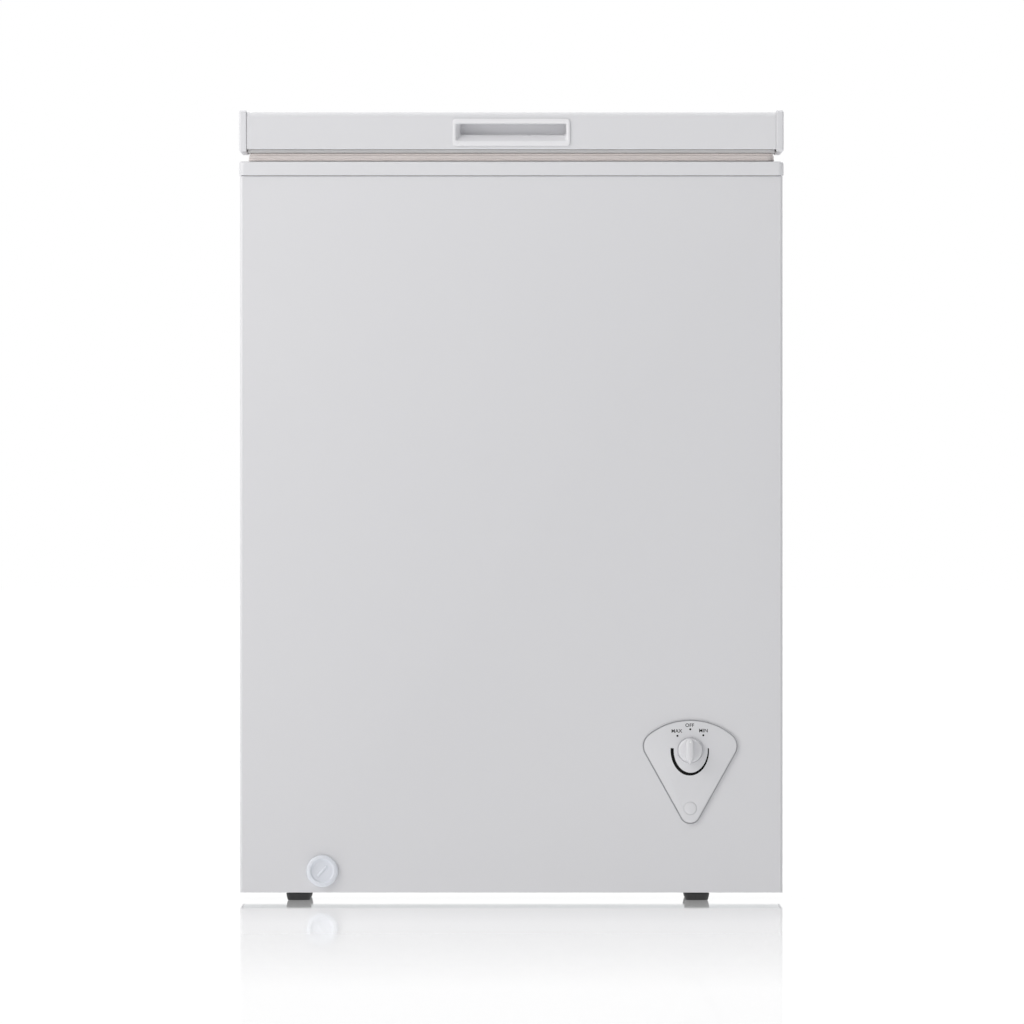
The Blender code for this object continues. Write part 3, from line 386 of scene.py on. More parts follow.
def carve(mesh, *cutters):
    """Takes closed cutter meshes out of a mesh."""
    base = placed("carved", mesh)
    tools = [placed("cutter", cutter) for cutter in cutters]
    for tool in tools:
        step = base.modifiers.new("cut", "BOOLEAN")
        step.solver = "EXACT"
        step.object = tool
    made = settled(base)
    for tool in tools:
        bpy.data.objects.remove(tool)
    return made


def drill(radius, place, turn, steps=32, deep=0.01):
    """A round cutter along the turned axis."""
    return lathe([(0, -deep), (radius, -deep), (radius, 0.01), (0, 0.01)], place, turn, steps)


def crate(low, high, radius=0.0, steps=3):
    """A box with its edges rounded where a radius is given."""
    shape = bmesh.new()
    bmesh.ops.create_cube(shape, size=1.0)
    for vert in shape.verts:
        vert.co = [low[i] + (vert.co[i] + 0.5) * (high[i] - low[i]) for i in range(3)]
    if radius:
        bmesh.ops.bevel(shape, geom=shape.edges[:], offset=radius, segments=steps, profile=0.5,
                        affect="EDGES")
    made = bpy.data.meshes.new("crate")
    shape.to_mesh(made)
    shape.free()
    return made


white_paint = surface("white_coil_coating", (0.705, 0.708, 0.732), 0.34, coat=0.15, mottle=0.012, cloud=3.0,
                      grain=0.05, size=0.0022, uneven=0.03, warm=(1.0, 0.998, 0.99))
FACING = Matrix.Rotation(math.radians(90), 4, "X")  # a turned piece's axis points forwards, to -Y
REARWARD = Matrix.Rotation(math.radians(-90), 4, "X")
RIGHTWARD = Matrix.Rotation(math.radians(90), 4, "Y")
knob_low, knob_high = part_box("control_knob")
KNOB_X, KNOB_Z = (knob_low.x + knob_high.x) / 2, (knob_low.z + knob_high.z) / 2
cap_low, cap_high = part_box("drain_outlet_cap")
DRAIN_X, DRAIN_Z = (cap_low.x + cap_high.x) / 2, (cap_low.z + cap_high.z) / 2
grille_low, grille_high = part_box("vent_grille")
body_low, body_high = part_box("cabinet_wrapper")
side, front, back = body_high.x, body_low.y, body_high.y
fold, bend, gauge = 0.015, 0.0030, 0.0008
sections = []
for inset, z in ((0, body_low.z), (0, body_high.z - 0.0020), (0.0004, body_high.z - 0.0009),
                 (0.0013, body_high.z)):
    x, y = side - inset, front + inset
    corners = [(-x + fold, back), (-x, back), (-x, y), (x, y), (x, back), (x - fold, back)]
    sections.append([(p.x, p.y, z) for p in thickened(rounded_path(corners, bend - inset, 8), gauge)])
walls = loft(sections)
holes = [drill(0.026, (KNOB_X, front, KNOB_Z), FACING), drill(0.010, (DRAIN_X, front, DRAIN_Z), FACING)]
inset = 0.007  # of the vent opening inside the grille
vent_low = (side - 0.01, grille_low.y + inset, grille_low.z + inset)
holes.append(crate(vent_low, (side + 0.01, grille_high.y - inset, grille_high.z - inset)))
piece("cabinet_shell", carve(walls, *holes), white_paint, "cabinet", "white_paint", "cabinet_wrapper")


# ---------------------------------------------------------------- rear panel
# A flat sheet of the same white steel closes the back, with seven shallow upright beads pressed in to
# stiffen it and a row of rivets down each edge.

panel_low, panel_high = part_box("rear_panel")
cover_low, cover_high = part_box("rear_access_cover")
panel = crate(panel_low, panel_high)
margin = 0.012
bay_low = (cover_low.x + margin, panel_low.y - 0.01, cover_low.z + margin)
bay = crate(bay_low, (cover_high.x - margin, panel_high.y + 0.01, cover_high.z - margin))
panel = carve(panel, bay)
BEAD_LOW, BEAD_HIGH = 0.290, 0.640  # height of the beads' ends
beads = []
for x in (-0.235, -0.155, -0.075, 0.005, 0.085, 0.165, 0.245):
    bead = []
    for grow, out in ((0.0060, 0.0), (0.0046, 0.0006), (0.0030, 0.0010), (0.0012, 0.0012)):
        outline = round_rectangle((x - grow, BEAD_LOW - grow), (x + grow, BEAD_HIGH + grow), grow * 0.99, 6)
        bead.append([(u, panel_high.y + out, v) for u, v in outline])
    beads.append(loft(bead))
rivets = []
for x in (panel_low.x + 0.006, panel_high.x - 0.006):
    for z in (0.06, 0.24, 0.42, 0.60, 0.74):
        dome = [(0.0030, 0), (0.0028, 0.0006), (0.0019, 0.0012), (0.0009, 0.0014), (0, 0.0015)]
        rivets.append(lathe(dome, (x, panel_high.y, z), REARWARD, 16))
piece("rear_panel_sheet", joined(panel, *beads, *rivets), white_paint, "cabinet", "white_paint", "rear_panel")


# ---------------------------------------------------------------- rear access cover, screws and gland
# A galvanised plate with two columns of pressed air slots closes the machine bay. Four cross-headed
# screws hold it, and a ribbed black gland fills the hole at its lower corner.

plate = crate(cover_low, cover_high, 0.0004, 2)
through = (cover_low.y - 0.01, cover_high.y + 0.01)
slots = []
lips = []
for column in (cover_low.x + 0.055, cover_high.x - 0.055):
    for i in range(8):
        z = cover_low.z + 0.070 + 0.018 * i
        outline = round_rectangle((column - 0.029, z - 0.0035), (column + 0.029, z + 0.0035), 0.0034, 5)
        slots.append(loft([[(u, y, v) for u, v in outline] for y in through]))
        lip = []
        for grow, out in ((0.0022, 0.0), (0.0014, 0.0005), (0.0004, 0.0006), (0.0, 0.0)):
            outline = round_rectangle((column - 0.029 - grow, z - 0.0035 - grow),
                                      (column + 0.029 + grow, z + 0.0035 + grow),
                                      0.0034 + grow, 5)
            lip.append([(u, cover_high.y + out - 0.0001, v) for u, v in outline])
        lips.append(loft(lip, capped=False))
gland_low, gland_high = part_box("cord_gland")
gland_x, gland_z = (gland_low.x + gland_high.x) / 2, (gland_low.z + gland_high.z) / 2
slots.append(drill(0.0083, (gland_x, cover_high.y, gland_z), REARWARD))
plate = carve(plate, *slots)
piece("rear_cover_plate", joined(plate, *lips), galvanised, "cabinet", "zinc", "rear_access_cover")

bright_zinc = surface("bright_zinc", (0.62, 0.63, 0.65), 0.26, 0.95, mottle=0.05, cloud=40.0, grain=0.08,
                      size=0.0006, uneven=0.08)


def screw_head(x, y, z, radius, turn):
    """A pan head with a cross recess, its face along the turned axis."""
    rise = radius * 0.52
    dome = [(0, rise), (radius * 0.55, rise * 0.93), (radius * 0.85, rise * 0.66), (radius, rise * 0.25),
            (radius, 0)]
    dome += [(radius * 0.45, 0), (radius * 0.45, -0.0040), (0, -0.0040)]
    head = lathe(dome, (x, y, z), turn, 32)
    move = Matrix.Translation((x, y, z)) @ turn
    arm = radius * 0.55
    cross = []
    for half in ((arm, radius * 0.12), (radius * 0.12, arm)):
        bar = crate((-half[0], -half[1], rise * 0.45), (half[0], half[1], rise * 1.5))
        bar.transform(move)
        cross.append(bar)
    return carve(head, *cross)


for number in range(1, 5):
    screw_low, screw_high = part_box(f"cover_screw_{number}")
    middle = (screw_low + screw_high) / 2
    head = screw_head(middle.x, cover_high.y + 0.0003, middle.z, 0.0042, REARWARD)
    piece(f"cover_screw_head_{number}", head, bright_zinc, "cabinet", "zinc", f"cover_screw_{number}")

black_plastic = surface("black_moulding", (0.022, 0.022, 0.023), 0.42, mottle=0.15, grain=0.15, size=0.0007)
seat = cover_high.y + 0.0003
rings = [(0.0042, -0.0050), (0.0078, -0.0050), (0.0078, 0), (0.0110, 0), (0.0110, 0.0015), (0.0104, 0.0021)]
for i in range(3):
    foot = 0.0024 + i * 0.0019
    rings += [(0.0093 - i * 0.0004, foot), (0.0091 - i * 0.0004, foot + 0.0011),
              (0.0082 - i * 0.0004, foot + 0.0013)]
    rings += [(0.0081 - i * 0.0004, foot + 0.0018)]
rings += [(0.0066, 0.0088), (0.0058, 0.0090), (0.0044, 0.0090), (0.0042, 0.0086), (0.0042, -0.0050)]
gland = lathe(rings, (gland_x, seat, gland_z), REARWARD, 40)
piece("cord_gland_moulding", gland, black_plastic, "cabinet", "black_plastic", "cord_gland")


# ---------------------------------------------------------------- side vent grille
# A thin white moulding stuck over the opening in the right side: a frame with nine level slots,
# whose louvre blades lean down and outwards.

opening_y = (grille_low.y + inset, grille_high.y - inset)
opening_z = (grille_low.z + inset, grille_high.z - inset)
rim = []
thick = grille_high.x - grille_low.x
for grow, out in ((0, 0), (0, thick * 0.6), (-0.0005, thick), (-inset - 0.0055, thick),
                  (-inset - 0.0060, thick * 0.5)):
    near, far = (grille_low.y - grow, grille_low.z - grow), (grille_high.y + grow, grille_high.z + grow)
    outline = round_rectangle(near, far, 0.006 + grow * 0.3)
    rim.append([(grille_low.x + out, u, v) for u, v in outline])
rim.append([(grille_low.x, p[1], p[2]) for p in rim[-1]])
blades = [loft(rim, around=True)]
pitch = (opening_z[1] - opening_z[0]) / 9
outer_x = grille_high.x - 0.0001
for i in range(10):
    z = opening_z[0] + pitch * i
    tilt = 0.0013 if 0 < i < 9 else 0.0
    half = pitch * 0.25
    blade = []
    for y in (opening_y[0] + 0.002, opening_y[1] - 0.002):
        blade.append([(outer_x, y, z - half - tilt), (outer_x, y, z - half - tilt + 0.0010),
                      (grille_high.x - 0.0052, y, z + half), (grille_high.x - 0.0060, y, z + half - 0.0002)])
    blades.append(loft(blade))
    face = crate((grille_low.x, opening_y[0], max(z - half, opening_z[0] - 0.003)),
                 (outer_x, opening_y[1], min(z + half * 0.6, opening_z[1] + 0.003)), 0.0003, 2)
    blades.append(face)
white_plastic = surface("white_moulding", (0.715, 0.718, 0.740), 0.36, mottle=0.012, cloud=5.0,
                        grain=0.05, size=0.0011, uneven=0.04)
piece("vent_grille_moulding", joined(*blades), white_plastic, "cabinet", "white_plastic", "vent_grille")


# ---------------------------------------------------------------- tub and insulation
# The tub is one liner of thin stucco-embossed sheet with rounded corners, a step over the machine
# bay and a flange that hooks over the foam. The space round it is foamed with polyurethane.


def with_thickness(mesh, thick, offset):
    """A sheet's mesh given a thickness."""
    made = placed("sheet", mesh)
    step = made.modifiers.new("thick", "SOLIDIFY")
    step.thickness = thick
    step.offset = offset
    step.use_even_offset = True
    return settled(made)


liner_low, liner_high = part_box("inner_liner")
plug_low, plug_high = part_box("drain_inner_plug")
plug_x, plug_y = (plug_low.x + plug_high.x) / 2, (plug_low.y + plug_high.y) / 2
well_x = liner_high.x - 0.026
well_front, well_rear = liner_low.y + 0.026, liner_high.y - 0.026
well_floor, well_top = liner_low.z + 0.001, liner_high.z
step_x, step_top = 0.045, 0.300
stair = [(-well_x, well_floor), (step_x, well_floor), (step_x, step_top), (well_x, step_top),
         (well_x, well_top), (-well_x, well_top)]
shape = bmesh.new()
face = shape.faces.new([shape.verts.new((x, well_front, z)) for x, z in stair])
risen = bmesh.ops.extrude_face_region(shape, geom=[face])
moved = [v for v in risen["geom"] if isinstance(v, bmesh.types.BMVert)]
bmesh.ops.translate(shape, vec=(0, well_rear - well_front, 0), verts=moved)
bmesh.ops.recalc_face_normals(shape, faces=shape.faces)
lower = [e for e in shape.edges if min(v.co.z for v in e.verts) < well_top - 0.001]
bmesh.ops.bevel(shape, geom=lower, offset=0.012, segments=7, profile=0.5, affect="EDGES")
shape.normal_update()
lid = [f for f in shape.faces if f.normal.z > 0.9 and f.calc_center_median().z > well_top - 0.001]
bmesh.ops.delete(shape, geom=lid, context="FACES")
mouth = [e for e in shape.edges if e.is_boundary]
spread = bmesh.ops.extrude_edge_only(shape, edges=mouth)
middle = (well_front + well_rear) / 2
for vert in [v for v in spread["geom"] if isinstance(v, bmesh.types.BMVert)]:
    vert.co.x *= 1 + 0.026 / well_x
    vert.co.y = middle + (vert.co.y - middle) * (1 + 0.026 / (well_rear - middle))
tub = bpy.data.meshes.new("tub")
shape.to_mesh(tub)
shape.free()
tub = with_thickness(tub, 0.001, 1.0)
drain_hole = lathe([(0, -0.02), (0.0082, -0.02), (0.0082, 0.02), (0, 0.02)], (plug_x, plug_y, well_floor))
stucco = surface("stucco_embossed_liner", (0.80, 0.81, 0.825), 0.36, 0.25, mottle=0.02, cloud=5.0,
                 grain=0.30, size=0.0045, pattern="cells", uneven=0.05)
piece("tub_liner", carve(tub, drain_hole), stucco, "cabinet", "liner_sheet", "inner_liner")
foam_yellow = surface("polyurethane_foam", (0.80, 0.70, 0.44), 0.92, mottle=0.10, cloud=30.0, grain=0.7,
                      size=0.0025, pattern="cells", warm=(1.0, 0.96, 0.88))
dress(foam_yellow, "insulation_foam", "lid_foam")


# ---------------------------------------------------------------- cooling circuit
# Copper tube is wound round the tub and zigzags behind the rear panel. In the bay at the lower right
# a black drawn-steel compressor, welded at its waist, stands on rubber grommets over a zinc rail.

copper = surface("copper_tube", (0.72, 0.36, 0.21), 0.30, 0.95, mottle=0.22, cloud=35.0, uneven=0.12,
                 warm=(1.0, 0.9, 0.8))
rubber = surface("black_rubber", (0.020, 0.020, 0.020), 0.80, mottle=0.2, grain=0.3, size=0.0009)
grommets = [f"compressor_grommet_{i}" for i in range(1, 5)]
dress(copper, "evaporator_coil", "condenser_coil", "discharge_pipe", "suction_pipe", "filter_drier",
      "sensor_tube")
dress(rubber, *grommets)
dress(galvanised, "compressor_mount_plate")
dress(black_plastic, "terminal_cover")

pot_low, pot_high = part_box("compressor")
cx, cy = (pot_low.x + pot_high.x) / 2, (pot_low.y + pot_high.y) / 2
waist = 0.065
profile = [(0, 0.196), (0.016, 0.1952), (0.032, 0.192), (0.044, 0.1872), (0.053, 0.1805), (0.059, 0.172),
           (0.0628, 0.160)]
profile += [(waist, 0.142), (waist, 0.1168), (waist + 0.0030, 0.1160), (waist + 0.0040, 0.1150),
            (waist + 0.0040, 0.1112)]
profile += [(waist + 0.0030, 0.1102), (waist - 0.0006, 0.1098), (waist - 0.0010, 0.085),
            (waist - 0.003, 0.064)]
profile += [(0.057, 0.050), (0.048, 0.039), (0.034, 0.032), (0.016, 0.0304), (0, 0.0300)]
pot = lathe(profile, (cx, cy, 0), None, 72)
weld = []
for i in range(60):
    turn = 2 * math.pi * i / 60
    centre = (cx + (waist + 0.0032) * math.cos(turn), cy + (waist + 0.0032) * math.sin(turn), 0.1168)
    weld.append(lathe([(0.0022, -0.0004), (0.0018, 0.0006), (0.0009, 0.0010), (0, 0.0011)], centre, None, 10))
rail = []
for z, grow in ((pot_low.z, -0.0006), (pot_low.z + 0.0005, 0), (pot_low.z + 0.0025, 0),
                (pot_low.z + 0.0030, -0.0006)):
    near, far = (pot_low.x - grow, cy - 0.058 - grow), (pot_high.x + grow, cy + 0.058 + grow)
    outline = round_rectangle(near, far, 0.014 + grow)
    rail.append([(x, y, z) for x, y in outline])
black_enamel = surface("black_enamel", (0.016, 0.016, 0.017), 0.32, coat=0.4, mottle=0.15, cloud=25.0,
                       grain=0.12, size=0.0015)
piece("compressor_shell", joined(pot, loft(rail), *weld), black_enamel, "cabinet", "black_paint",
      "compressor")


# ---------------------------------------------------------------- rim trim
# A white moulded frame clips over the top of the cabinet and the liner's flange. Its skirt has a
# rounded shoulder, its flat top a shallow track for the lid's seal, and a lip turns down into the tub.

trim_low, trim_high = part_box("rim_trim")
gasket_low, gasket_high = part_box("lid_gasket")
top, foot = trim_high.z, trim_low.z
lip = well_x - 0.0003
lip_front, lip_rear = well_front + 0.0003, well_rear - 0.0003
levels = []


def trim_loop(inward, z, radius):
    """A loop of the trim that lies a distance inside its outline."""
    return level_loop(trim_low, trim_high, inward, z, radius, 10)


def lip_loop(inward, z):
    """A loop of the lip that lies a distance inside the tub's wall."""
    low, high = (-lip + inward, lip_front + inward), (lip - inward, lip_rear - inward)
    return [(x, y, z) for x, y in round_rectangle(low, high, 0.012 - inward, 10)]


for inward, lift, radius in ((0.0037, 0, 0.0030), (0.0006, 0, 0.0054), (0.0001, 0.0002, 0.0059),
                             (0, 0.0007, 0.006)):
    levels.append(trim_loop(inward, foot + lift, radius))
for turn in range(0, 91, 15):
    lean = math.radians(turn)
    levels.append(trim_loop(0.0026 * (1 - math.cos(lean)), top - 0.0026 + 0.0026 * math.sin(lean), 0.006))
track = (gasket_low.x - trim_low.x) - 0.0016
for inward, drop in ((track - 0.0006, 0), (track, 0.0005), (track + 0.0170, 0.0005), (track + 0.0176, 0)):
    levels.append(trim_loop(inward, top - drop, 0.006))
for turn in range(90, -1, -15):
    lean = math.radians(turn)
    levels.append(lip_loop(0.0022 + 0.0020 * (math.cos(lean) - 1), top - 0.0020 + 0.0020 * math.sin(lean)))
for inward, z in ((0.0022, top - 0.0120), (0.0, top - 0.0120), (0.0, well_top + 0.0003)):
    levels.append(lip_loop(inward, z))
levels.append(trim_loop(0.0037, well_top + 0.0003, 0.0030))
piece("rim_trim_moulding", loft(levels, around=True), white_plastic, "cabinet", "white_plastic", "rim_trim")


# ---------------------------------------------------------------- control escutcheon
# A shield-shaped white moulding lies on the front sheet, with a groove just inside its edge, whose grey strip
# is painted shade. A black tapering band and three marked points are printed on it round the knob.

panel_low, panel_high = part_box("control_escutcheon")
screw_low, screw_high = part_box("escutcheon_screw_cap")
SCREW_Z = (screw_low.z + screw_high.z) / 2
ROUND = 0.017  # radius of the shield's two upper corners
NOSE = 0.012  # radius of its lower tip
SHOULDER = (panel_high.x - panel_low.x) / 2 - ROUND
SHOULDER_Z = KNOB_Z + 0.0045
NOSE_Z = panel_low.z + NOSE


def shield(grow, steps=10):
    """The shield's outline about the knob's axis, grown by a margin."""
    rise = panel_high.z - ROUND - SHOULDER_Z
    bow_z = SHOULDER_Z - (SHOULDER * SHOULDER - rise * rise) / (2 * rise)
    lean = math.degrees(math.atan2(SHOULDER_Z - bow_z, SHOULDER))
    slope = math.degrees(math.atan2(SHOULDER_Z - NOSE_Z, SHOULDER))
    spread = math.degrees(math.asin((ROUND - NOSE) / math.hypot(SHOULDER, SHOULDER_Z - NOSE_Z)))
    turn = slope - 90 + spread
    outline = arc((0, bow_z), panel_high.z - bow_z + grow, lean, 180 - lean, 24)
    outline += arc((-SHOULDER, SHOULDER_Z), ROUND + grow, 180 - lean, 180 - turn, steps)[1:]
    outline += arc((0, NOSE_Z), NOSE + grow, 180 - turn, 360 + turn, steps + 4)
    outline += arc((SHOULDER, SHOULDER_Z), ROUND + grow, turn, lean, steps)[:-1]
    return [(KNOB_X + x, z) for x, z in outline]


face_y = panel_low.y
steps = [(0, panel_high.y), (0, face_y + 0.0007), (-0.0001, face_y + 0.0002), (-0.0003, face_y)]
steps += [(-0.0004, face_y + 0.0001), (-0.0005, face_y + 0.0014), (-0.0018, face_y + 0.0014),
          (-0.0020, face_y + 0.0001)]
steps += [(-0.0024, face_y)]
panel = loft([[(x, y, z) for x, z in shield(grow)] for grow, y in steps])
shaft_hole = drill(0.0045, (KNOB_X, face_y, KNOB_Z), FACING)
screw_hole = drill(0.0024, (KNOB_X, face_y, SCREW_Z), FACING, 24)
screw_seat = drill(0.0072, (KNOB_X, face_y, SCREW_Z), FACING, 40, 0.0009)
plate = carve(panel, shaft_hole, screw_hole, screw_seat)
piece("escutcheon_moulding", plate, white_plastic, "cabinet", "white_plastic", "control_escutcheon")

# The grey strip in the groove's floor is painted shade: it stands in for the shadow in the groove, so the
# groove reads as an even dark line.
groove_painted_shade_grey = surface("groove_painted_shade_grey", (0.44, 0.44, 0.46), 0.5, mottle=0.05, cloud=40.0)
loops = []
for grow, lift in ((-0.0006, 0), (-0.0006, 0.0001), (-0.0017, 0.0001), (-0.0017, 0)):
    loops.append([(x, face_y + 0.0014 - lift, z) for x, z in shield(grow)])
piece("escutcheon_groove_painted_shade", loft(loops, around=True), groove_painted_shade_grey, "cabinet", "white_plastic")

ink = surface("printing_ink", (0.004, 0.004, 0.004), 0.6, mottle=0.1, cloud=60.0, specular=0.1)
BAND = (0.0195, 0.0257)  # half width and half height of the printed band
prints = []
inner_edge, outer_edge = [], []
for i in range(61):
    share = i / 60
    turn = math.radians(275 - 190 * share)
    half = 0.0017 - 0.0011 * max(0.0, share - 0.40) / 0.60
    for edge, grow in ((inner_edge, -half), (outer_edge, half)):
        edge.append((KNOB_X + (BAND[0] + grow) * math.sin(turn), KNOB_Z + (BAND[1] + grow) * math.cos(turn)))
band = [(x, face_y - 0.00004, z) for x, z in inner_edge + outer_edge[::-1]]
prints.append(loft([band, [(x, face_y + 0.00004, z) for x, y, z in band]]))
for along, up in ((-0.0138, 0.0155), (0, 0.0226), (0.0140, 0.0161)):
    point = [(0, 0.00004), (0.0011, 0.00004), (0.0011, -0.00004), (0, -0.00004)]
    prints.append(lathe(point, (KNOB_X + along, face_y, KNOB_Z + up), FACING, 24))


def lettering(words, x, z, height):
    """Flat printed capitals that face forwards, centred on a point."""
    text = bpy.data.curves.new("words", "FONT")
    text.body = words
    text.size = height * 1.42
    text.space_character = 1.05
    text.align_x = "CENTER"
    text.offset = height * 0.018
    flat = settled(placed("words", text))
    flat.transform(Matrix.Translation((x, face_y - 0.00006, z)) @ FACING)
    return flat


for word, along, up in (("MAX", -0.0146, 0.0190), ("OFF", -0.0006, 0.0252), ("MIN", 0.0142, 0.0194)):
    prints.append(lettering(word, KNOB_X + along, KNOB_Z + up, 0.0037))
piece("escutcheon_print", joined(*prints), ink, "cabinet", "black_plastic")

cap_seat = face_y + 0.0009 - 0.0003
lid_profile = [(0, 0.00100), (0.0050, 0.0009), (0.0066, 0.0007), (0.0070, 0.0004), (0.0071, 0)]
lid_profile += [(0.0046, 0), (0.0046, 0.0005), (0, 0.0005)]
screw_cap = lathe(lid_profile, (KNOB_X, cap_seat, SCREW_Z), FACING, 48)
piece("screw_cap_moulding", screw_cap, white_plastic, "cabinet", "white_plastic", "escutcheon_screw_cap")
dress(bright_zinc, "escutcheon_screw", "thermostat_shaft", "thermostat_body")
dress(white_plastic, "control_box")


# ---------------------------------------------------------------- knob
# A round white knob with a thin flange, a domed face and an upright grip across it that ends in a pointer
# below.
# A small whiter dot at its upper end is a painted highlight on the grip's end.

back = knob_high.y
skirt = [(0, 0), (0.0148, 0), (0.0148, 0.0008), (0.0145, 0.0011), (0.0140, 0.0011), (0.0138, 0.0002),
         (0.0131, 0.0002), (0.0127, 0.0058)]
skirt += [(0.0124, 0.0070), (0.0116, 0.0077), (0.0090, 0.0082), (0, 0.0084)]
disc = lathe(skirt, (KNOB_X, back, KNOB_Z), FACING, 72)
reach = back - knob_low.y
loops = []
for rise, lean, tip in ((0.0060, 0.0046, 0.0154), (0.0100, 0.0041, 0.0150), (reach - 0.0014, 0.0033, 0.0143),
                        (reach - 0.0005, 0.0029, 0.0139), (reach, 0.0021, 0.0131)):
    upper = 0.0122 - (0.0046 - lean) * 0.5
    grip = arc((0, upper - lean), lean, 0, 180, 10)
    grip += [(-lean, -0.0080), (-lean * 0.5, -tip + 0.0022), (0, -tip), (lean * 0.5, -tip + 0.0022),
             (lean, -0.0080)]
    loops.append([(KNOB_X + x, back - rise, KNOB_Z + z) for x, z in grip])
blade = loft(loops)
piece("knob_moulding", joined(disc, blade), white_plastic, "knob", "white_plastic", "control_knob", crease=38)
# The dot is a painted highlight: whiter than the knob's plastic, where the grip's upper end catches the
# light.
knob_painted_highlight = surface("knob_painted_highlight", (0.92, 0.92, 0.92), 0.4, mottle=0.01, cloud=50.0)
dot = lathe([(0, 0.0002), (0.0008, 0.00012), (0.0009, -0.0002), (0, -0.0002)],
            (KNOB_X, knob_low.y, KNOB_Z + 0.0088), FACING, 24)
piece("knob_painted_highlight_dot", dot, knob_painted_highlight, "knob", "white_plastic")


# ---------------------------------------------------------------- drain
# A soft hose takes meltwater from the tub's floor to the front sheet. A round cap with a raised rim
# and a slanting grip across its dish closes it in front, and a domed plug closes it in the tub.

drain_white = surface("drain_moulding", (0.74, 0.765, 0.82), 0.33, mottle=0.015, cloud=9.0, grain=0.04,
                      size=0.001)
dress(drain_white, "drain_tube")
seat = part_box("cabinet_wrapper")[0].y - 0.0003
rim_r = (cap_high.x - cap_low.x) / 2
profile = [(0, 0.0026), (0.0098, 0.0026), (0.0112, 0.0030), (0.0122, 0.0042), (0.0130, 0.0050),
           (0.0146, 0.0050)]
profile += [(0.0160, 0.0045), (0.0169, 0.0034), (rim_r, 0.0018), (rim_r, 0), (0.0062, 0),
            (0.0060, -0.0240), (0, -0.0240)]
dish = lathe(profile, (DRAIN_X, seat, DRAIN_Z), FACING, 72)
loops = []
slant = Matrix.Rotation(math.radians(42), 3, "Y")
for rise, half_w, half_l in ((0.0020, 0.0019, 0.0078), (0.0030, 0.0014, 0.0074), (0.0034, 0.0009, 0.0068),
                             (0.0035, 0.0004, 0.0062)):
    outline = round_rectangle((-half_w, -half_l), (half_w, half_l), half_w * 0.98, 6)
    turned = [slant @ Vector((x, 0, z)) for x, z in outline]
    loops.append([(DRAIN_X + p.x, seat - rise, DRAIN_Z + p.z) for p in turned])
grip = loft(loops)
piece("drain_cap_moulding", joined(dish, grip), drain_white, "drain_cap", "drain_plastic", "drain_outlet_cap")
profile = [(0, 0.0040), (0.0060, 0.0039), (0.0100, 0.0034), (0.0128, 0.0024), (0.0139, 0.0012),
           (0.0140, 0), (0.0062, 0)]
profile += [(0.0062, -0.0020), (0.0066, -0.0026), (0.0066, -0.0034), (0.0060, -0.0042), (0.0058, -0.0105),
            (0, -0.0105)]
stopper = lathe(profile, (plug_x, plug_y, well_floor + 0.0003), None, 56)
tab_low = (plug_x - 0.0012, plug_y - 0.0070, well_floor + 0.0030)
tab = crate(tab_low, (plug_x + 0.0012, plug_y + 0.0070, plug_high.z), 0.0006, 2)
piece("drain_plug_moulding", joined(stopper, tab), drain_white, "drain_plug", "drain_plastic",
      "drain_inner_plug")


# ---------------------------------------------------------------- lid skin
# The lid's outer skin is one sheet of the same white steel, folded down at the front and the back
# over large round bends and turned in at its lower edges. The handle's opening is punched in it.

skin_low, skin_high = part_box("lid_skin")
cup_low, cup_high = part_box("handle_cup")
LID_FRONT, LID_REAR = skin_low.y, skin_high.y
hem = 0.010
outline = [(LID_FRONT + hem, skin_low.z), (LID_FRONT, skin_low.z), (LID_FRONT, skin_high.z)]
outline += [(LID_REAR, skin_high.z), (LID_REAR, skin_low.z), (LID_REAR - hem, skin_low.z)]
path = rounded_path(outline[:3], 0.0015, 5)[:-1]
path += rounded_path(outline[1:5], 0.0050, 10)[1:-1]
path += rounded_path(outline[3:], 0.0015, 5)[1:]
section = thickened(path, -gauge)
skin = loft([[(x, p.x, p.y) for p in section] for x in (skin_low.x, skin_high.x)])
handle_z = (cup_low.z + cup_high.z) / 2
finger_x, finger_z = 0.0595, 0.0093
punch = crate((-finger_x - 0.0021, LID_FRONT - 0.01, handle_z - finger_z - 0.0021),
              (finger_x + 0.0021, LID_FRONT + 0.01, handle_z + finger_z + 0.0021))
piece("lid_skin_sheet", carve(skin, punch), white_paint, "lid", "white_paint", "lid_skin")


# ---------------------------------------------------------------- lid end caps
# A white moulding closes each end of the lid. It stands a little proud of the skin all round, with
# a chamfer towards the skin and a soft outer edge.

for name, toward in (("left", -1), ("right", 1)):
    low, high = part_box(f"lid_end_cap_{name}")
    meeting, outside = (high.x, low.x) if toward < 0 else (low.x, high.x)
    wide = abs(outside - meeting)
    stations = [(0.0, 0.0008), (0.0008, 0.0), (wide - 0.0020, 0.0), (wide - 0.0012, 0.0002)]
    stations += [(wide - 0.0006, 0.0006), (wide - 0.0002, 0.0011), (wide, 0.0018)]
    loops = []
    for along, inset in stations:
        inner, outer = (low.y + inset, low.z + inset), (high.y - inset, high.z - inset)
        outline = round_rectangle(inner, outer, 0.0030 - inset * 0.6, 8)
        loops.append([(meeting + toward * along, y, z) for y, z in outline])
    piece(f"lid_end_cap_{name}_moulding", loft(loops), white_plastic, "lid", "white_plastic",
          f"lid_end_cap_{name}")


# ---------------------------------------------------------------- handle cup
# A white moulded cup snaps into the lid's front: a raised bezel with a soft edge round a finger
# recess, whose lower wall slopes up towards the back so that fingers find the upper one.

face = cup_low.y
loops = []


def cup_loop(half_x, low_z, high_z, y, radius, lean=0.0):
    """A loop of the cup, upright, at a depth; lean draws its left end in."""
    return [(x, y, z) for x, z in round_rectangle((-half_x + lean, low_z), (half_x, high_z), radius, 8)]


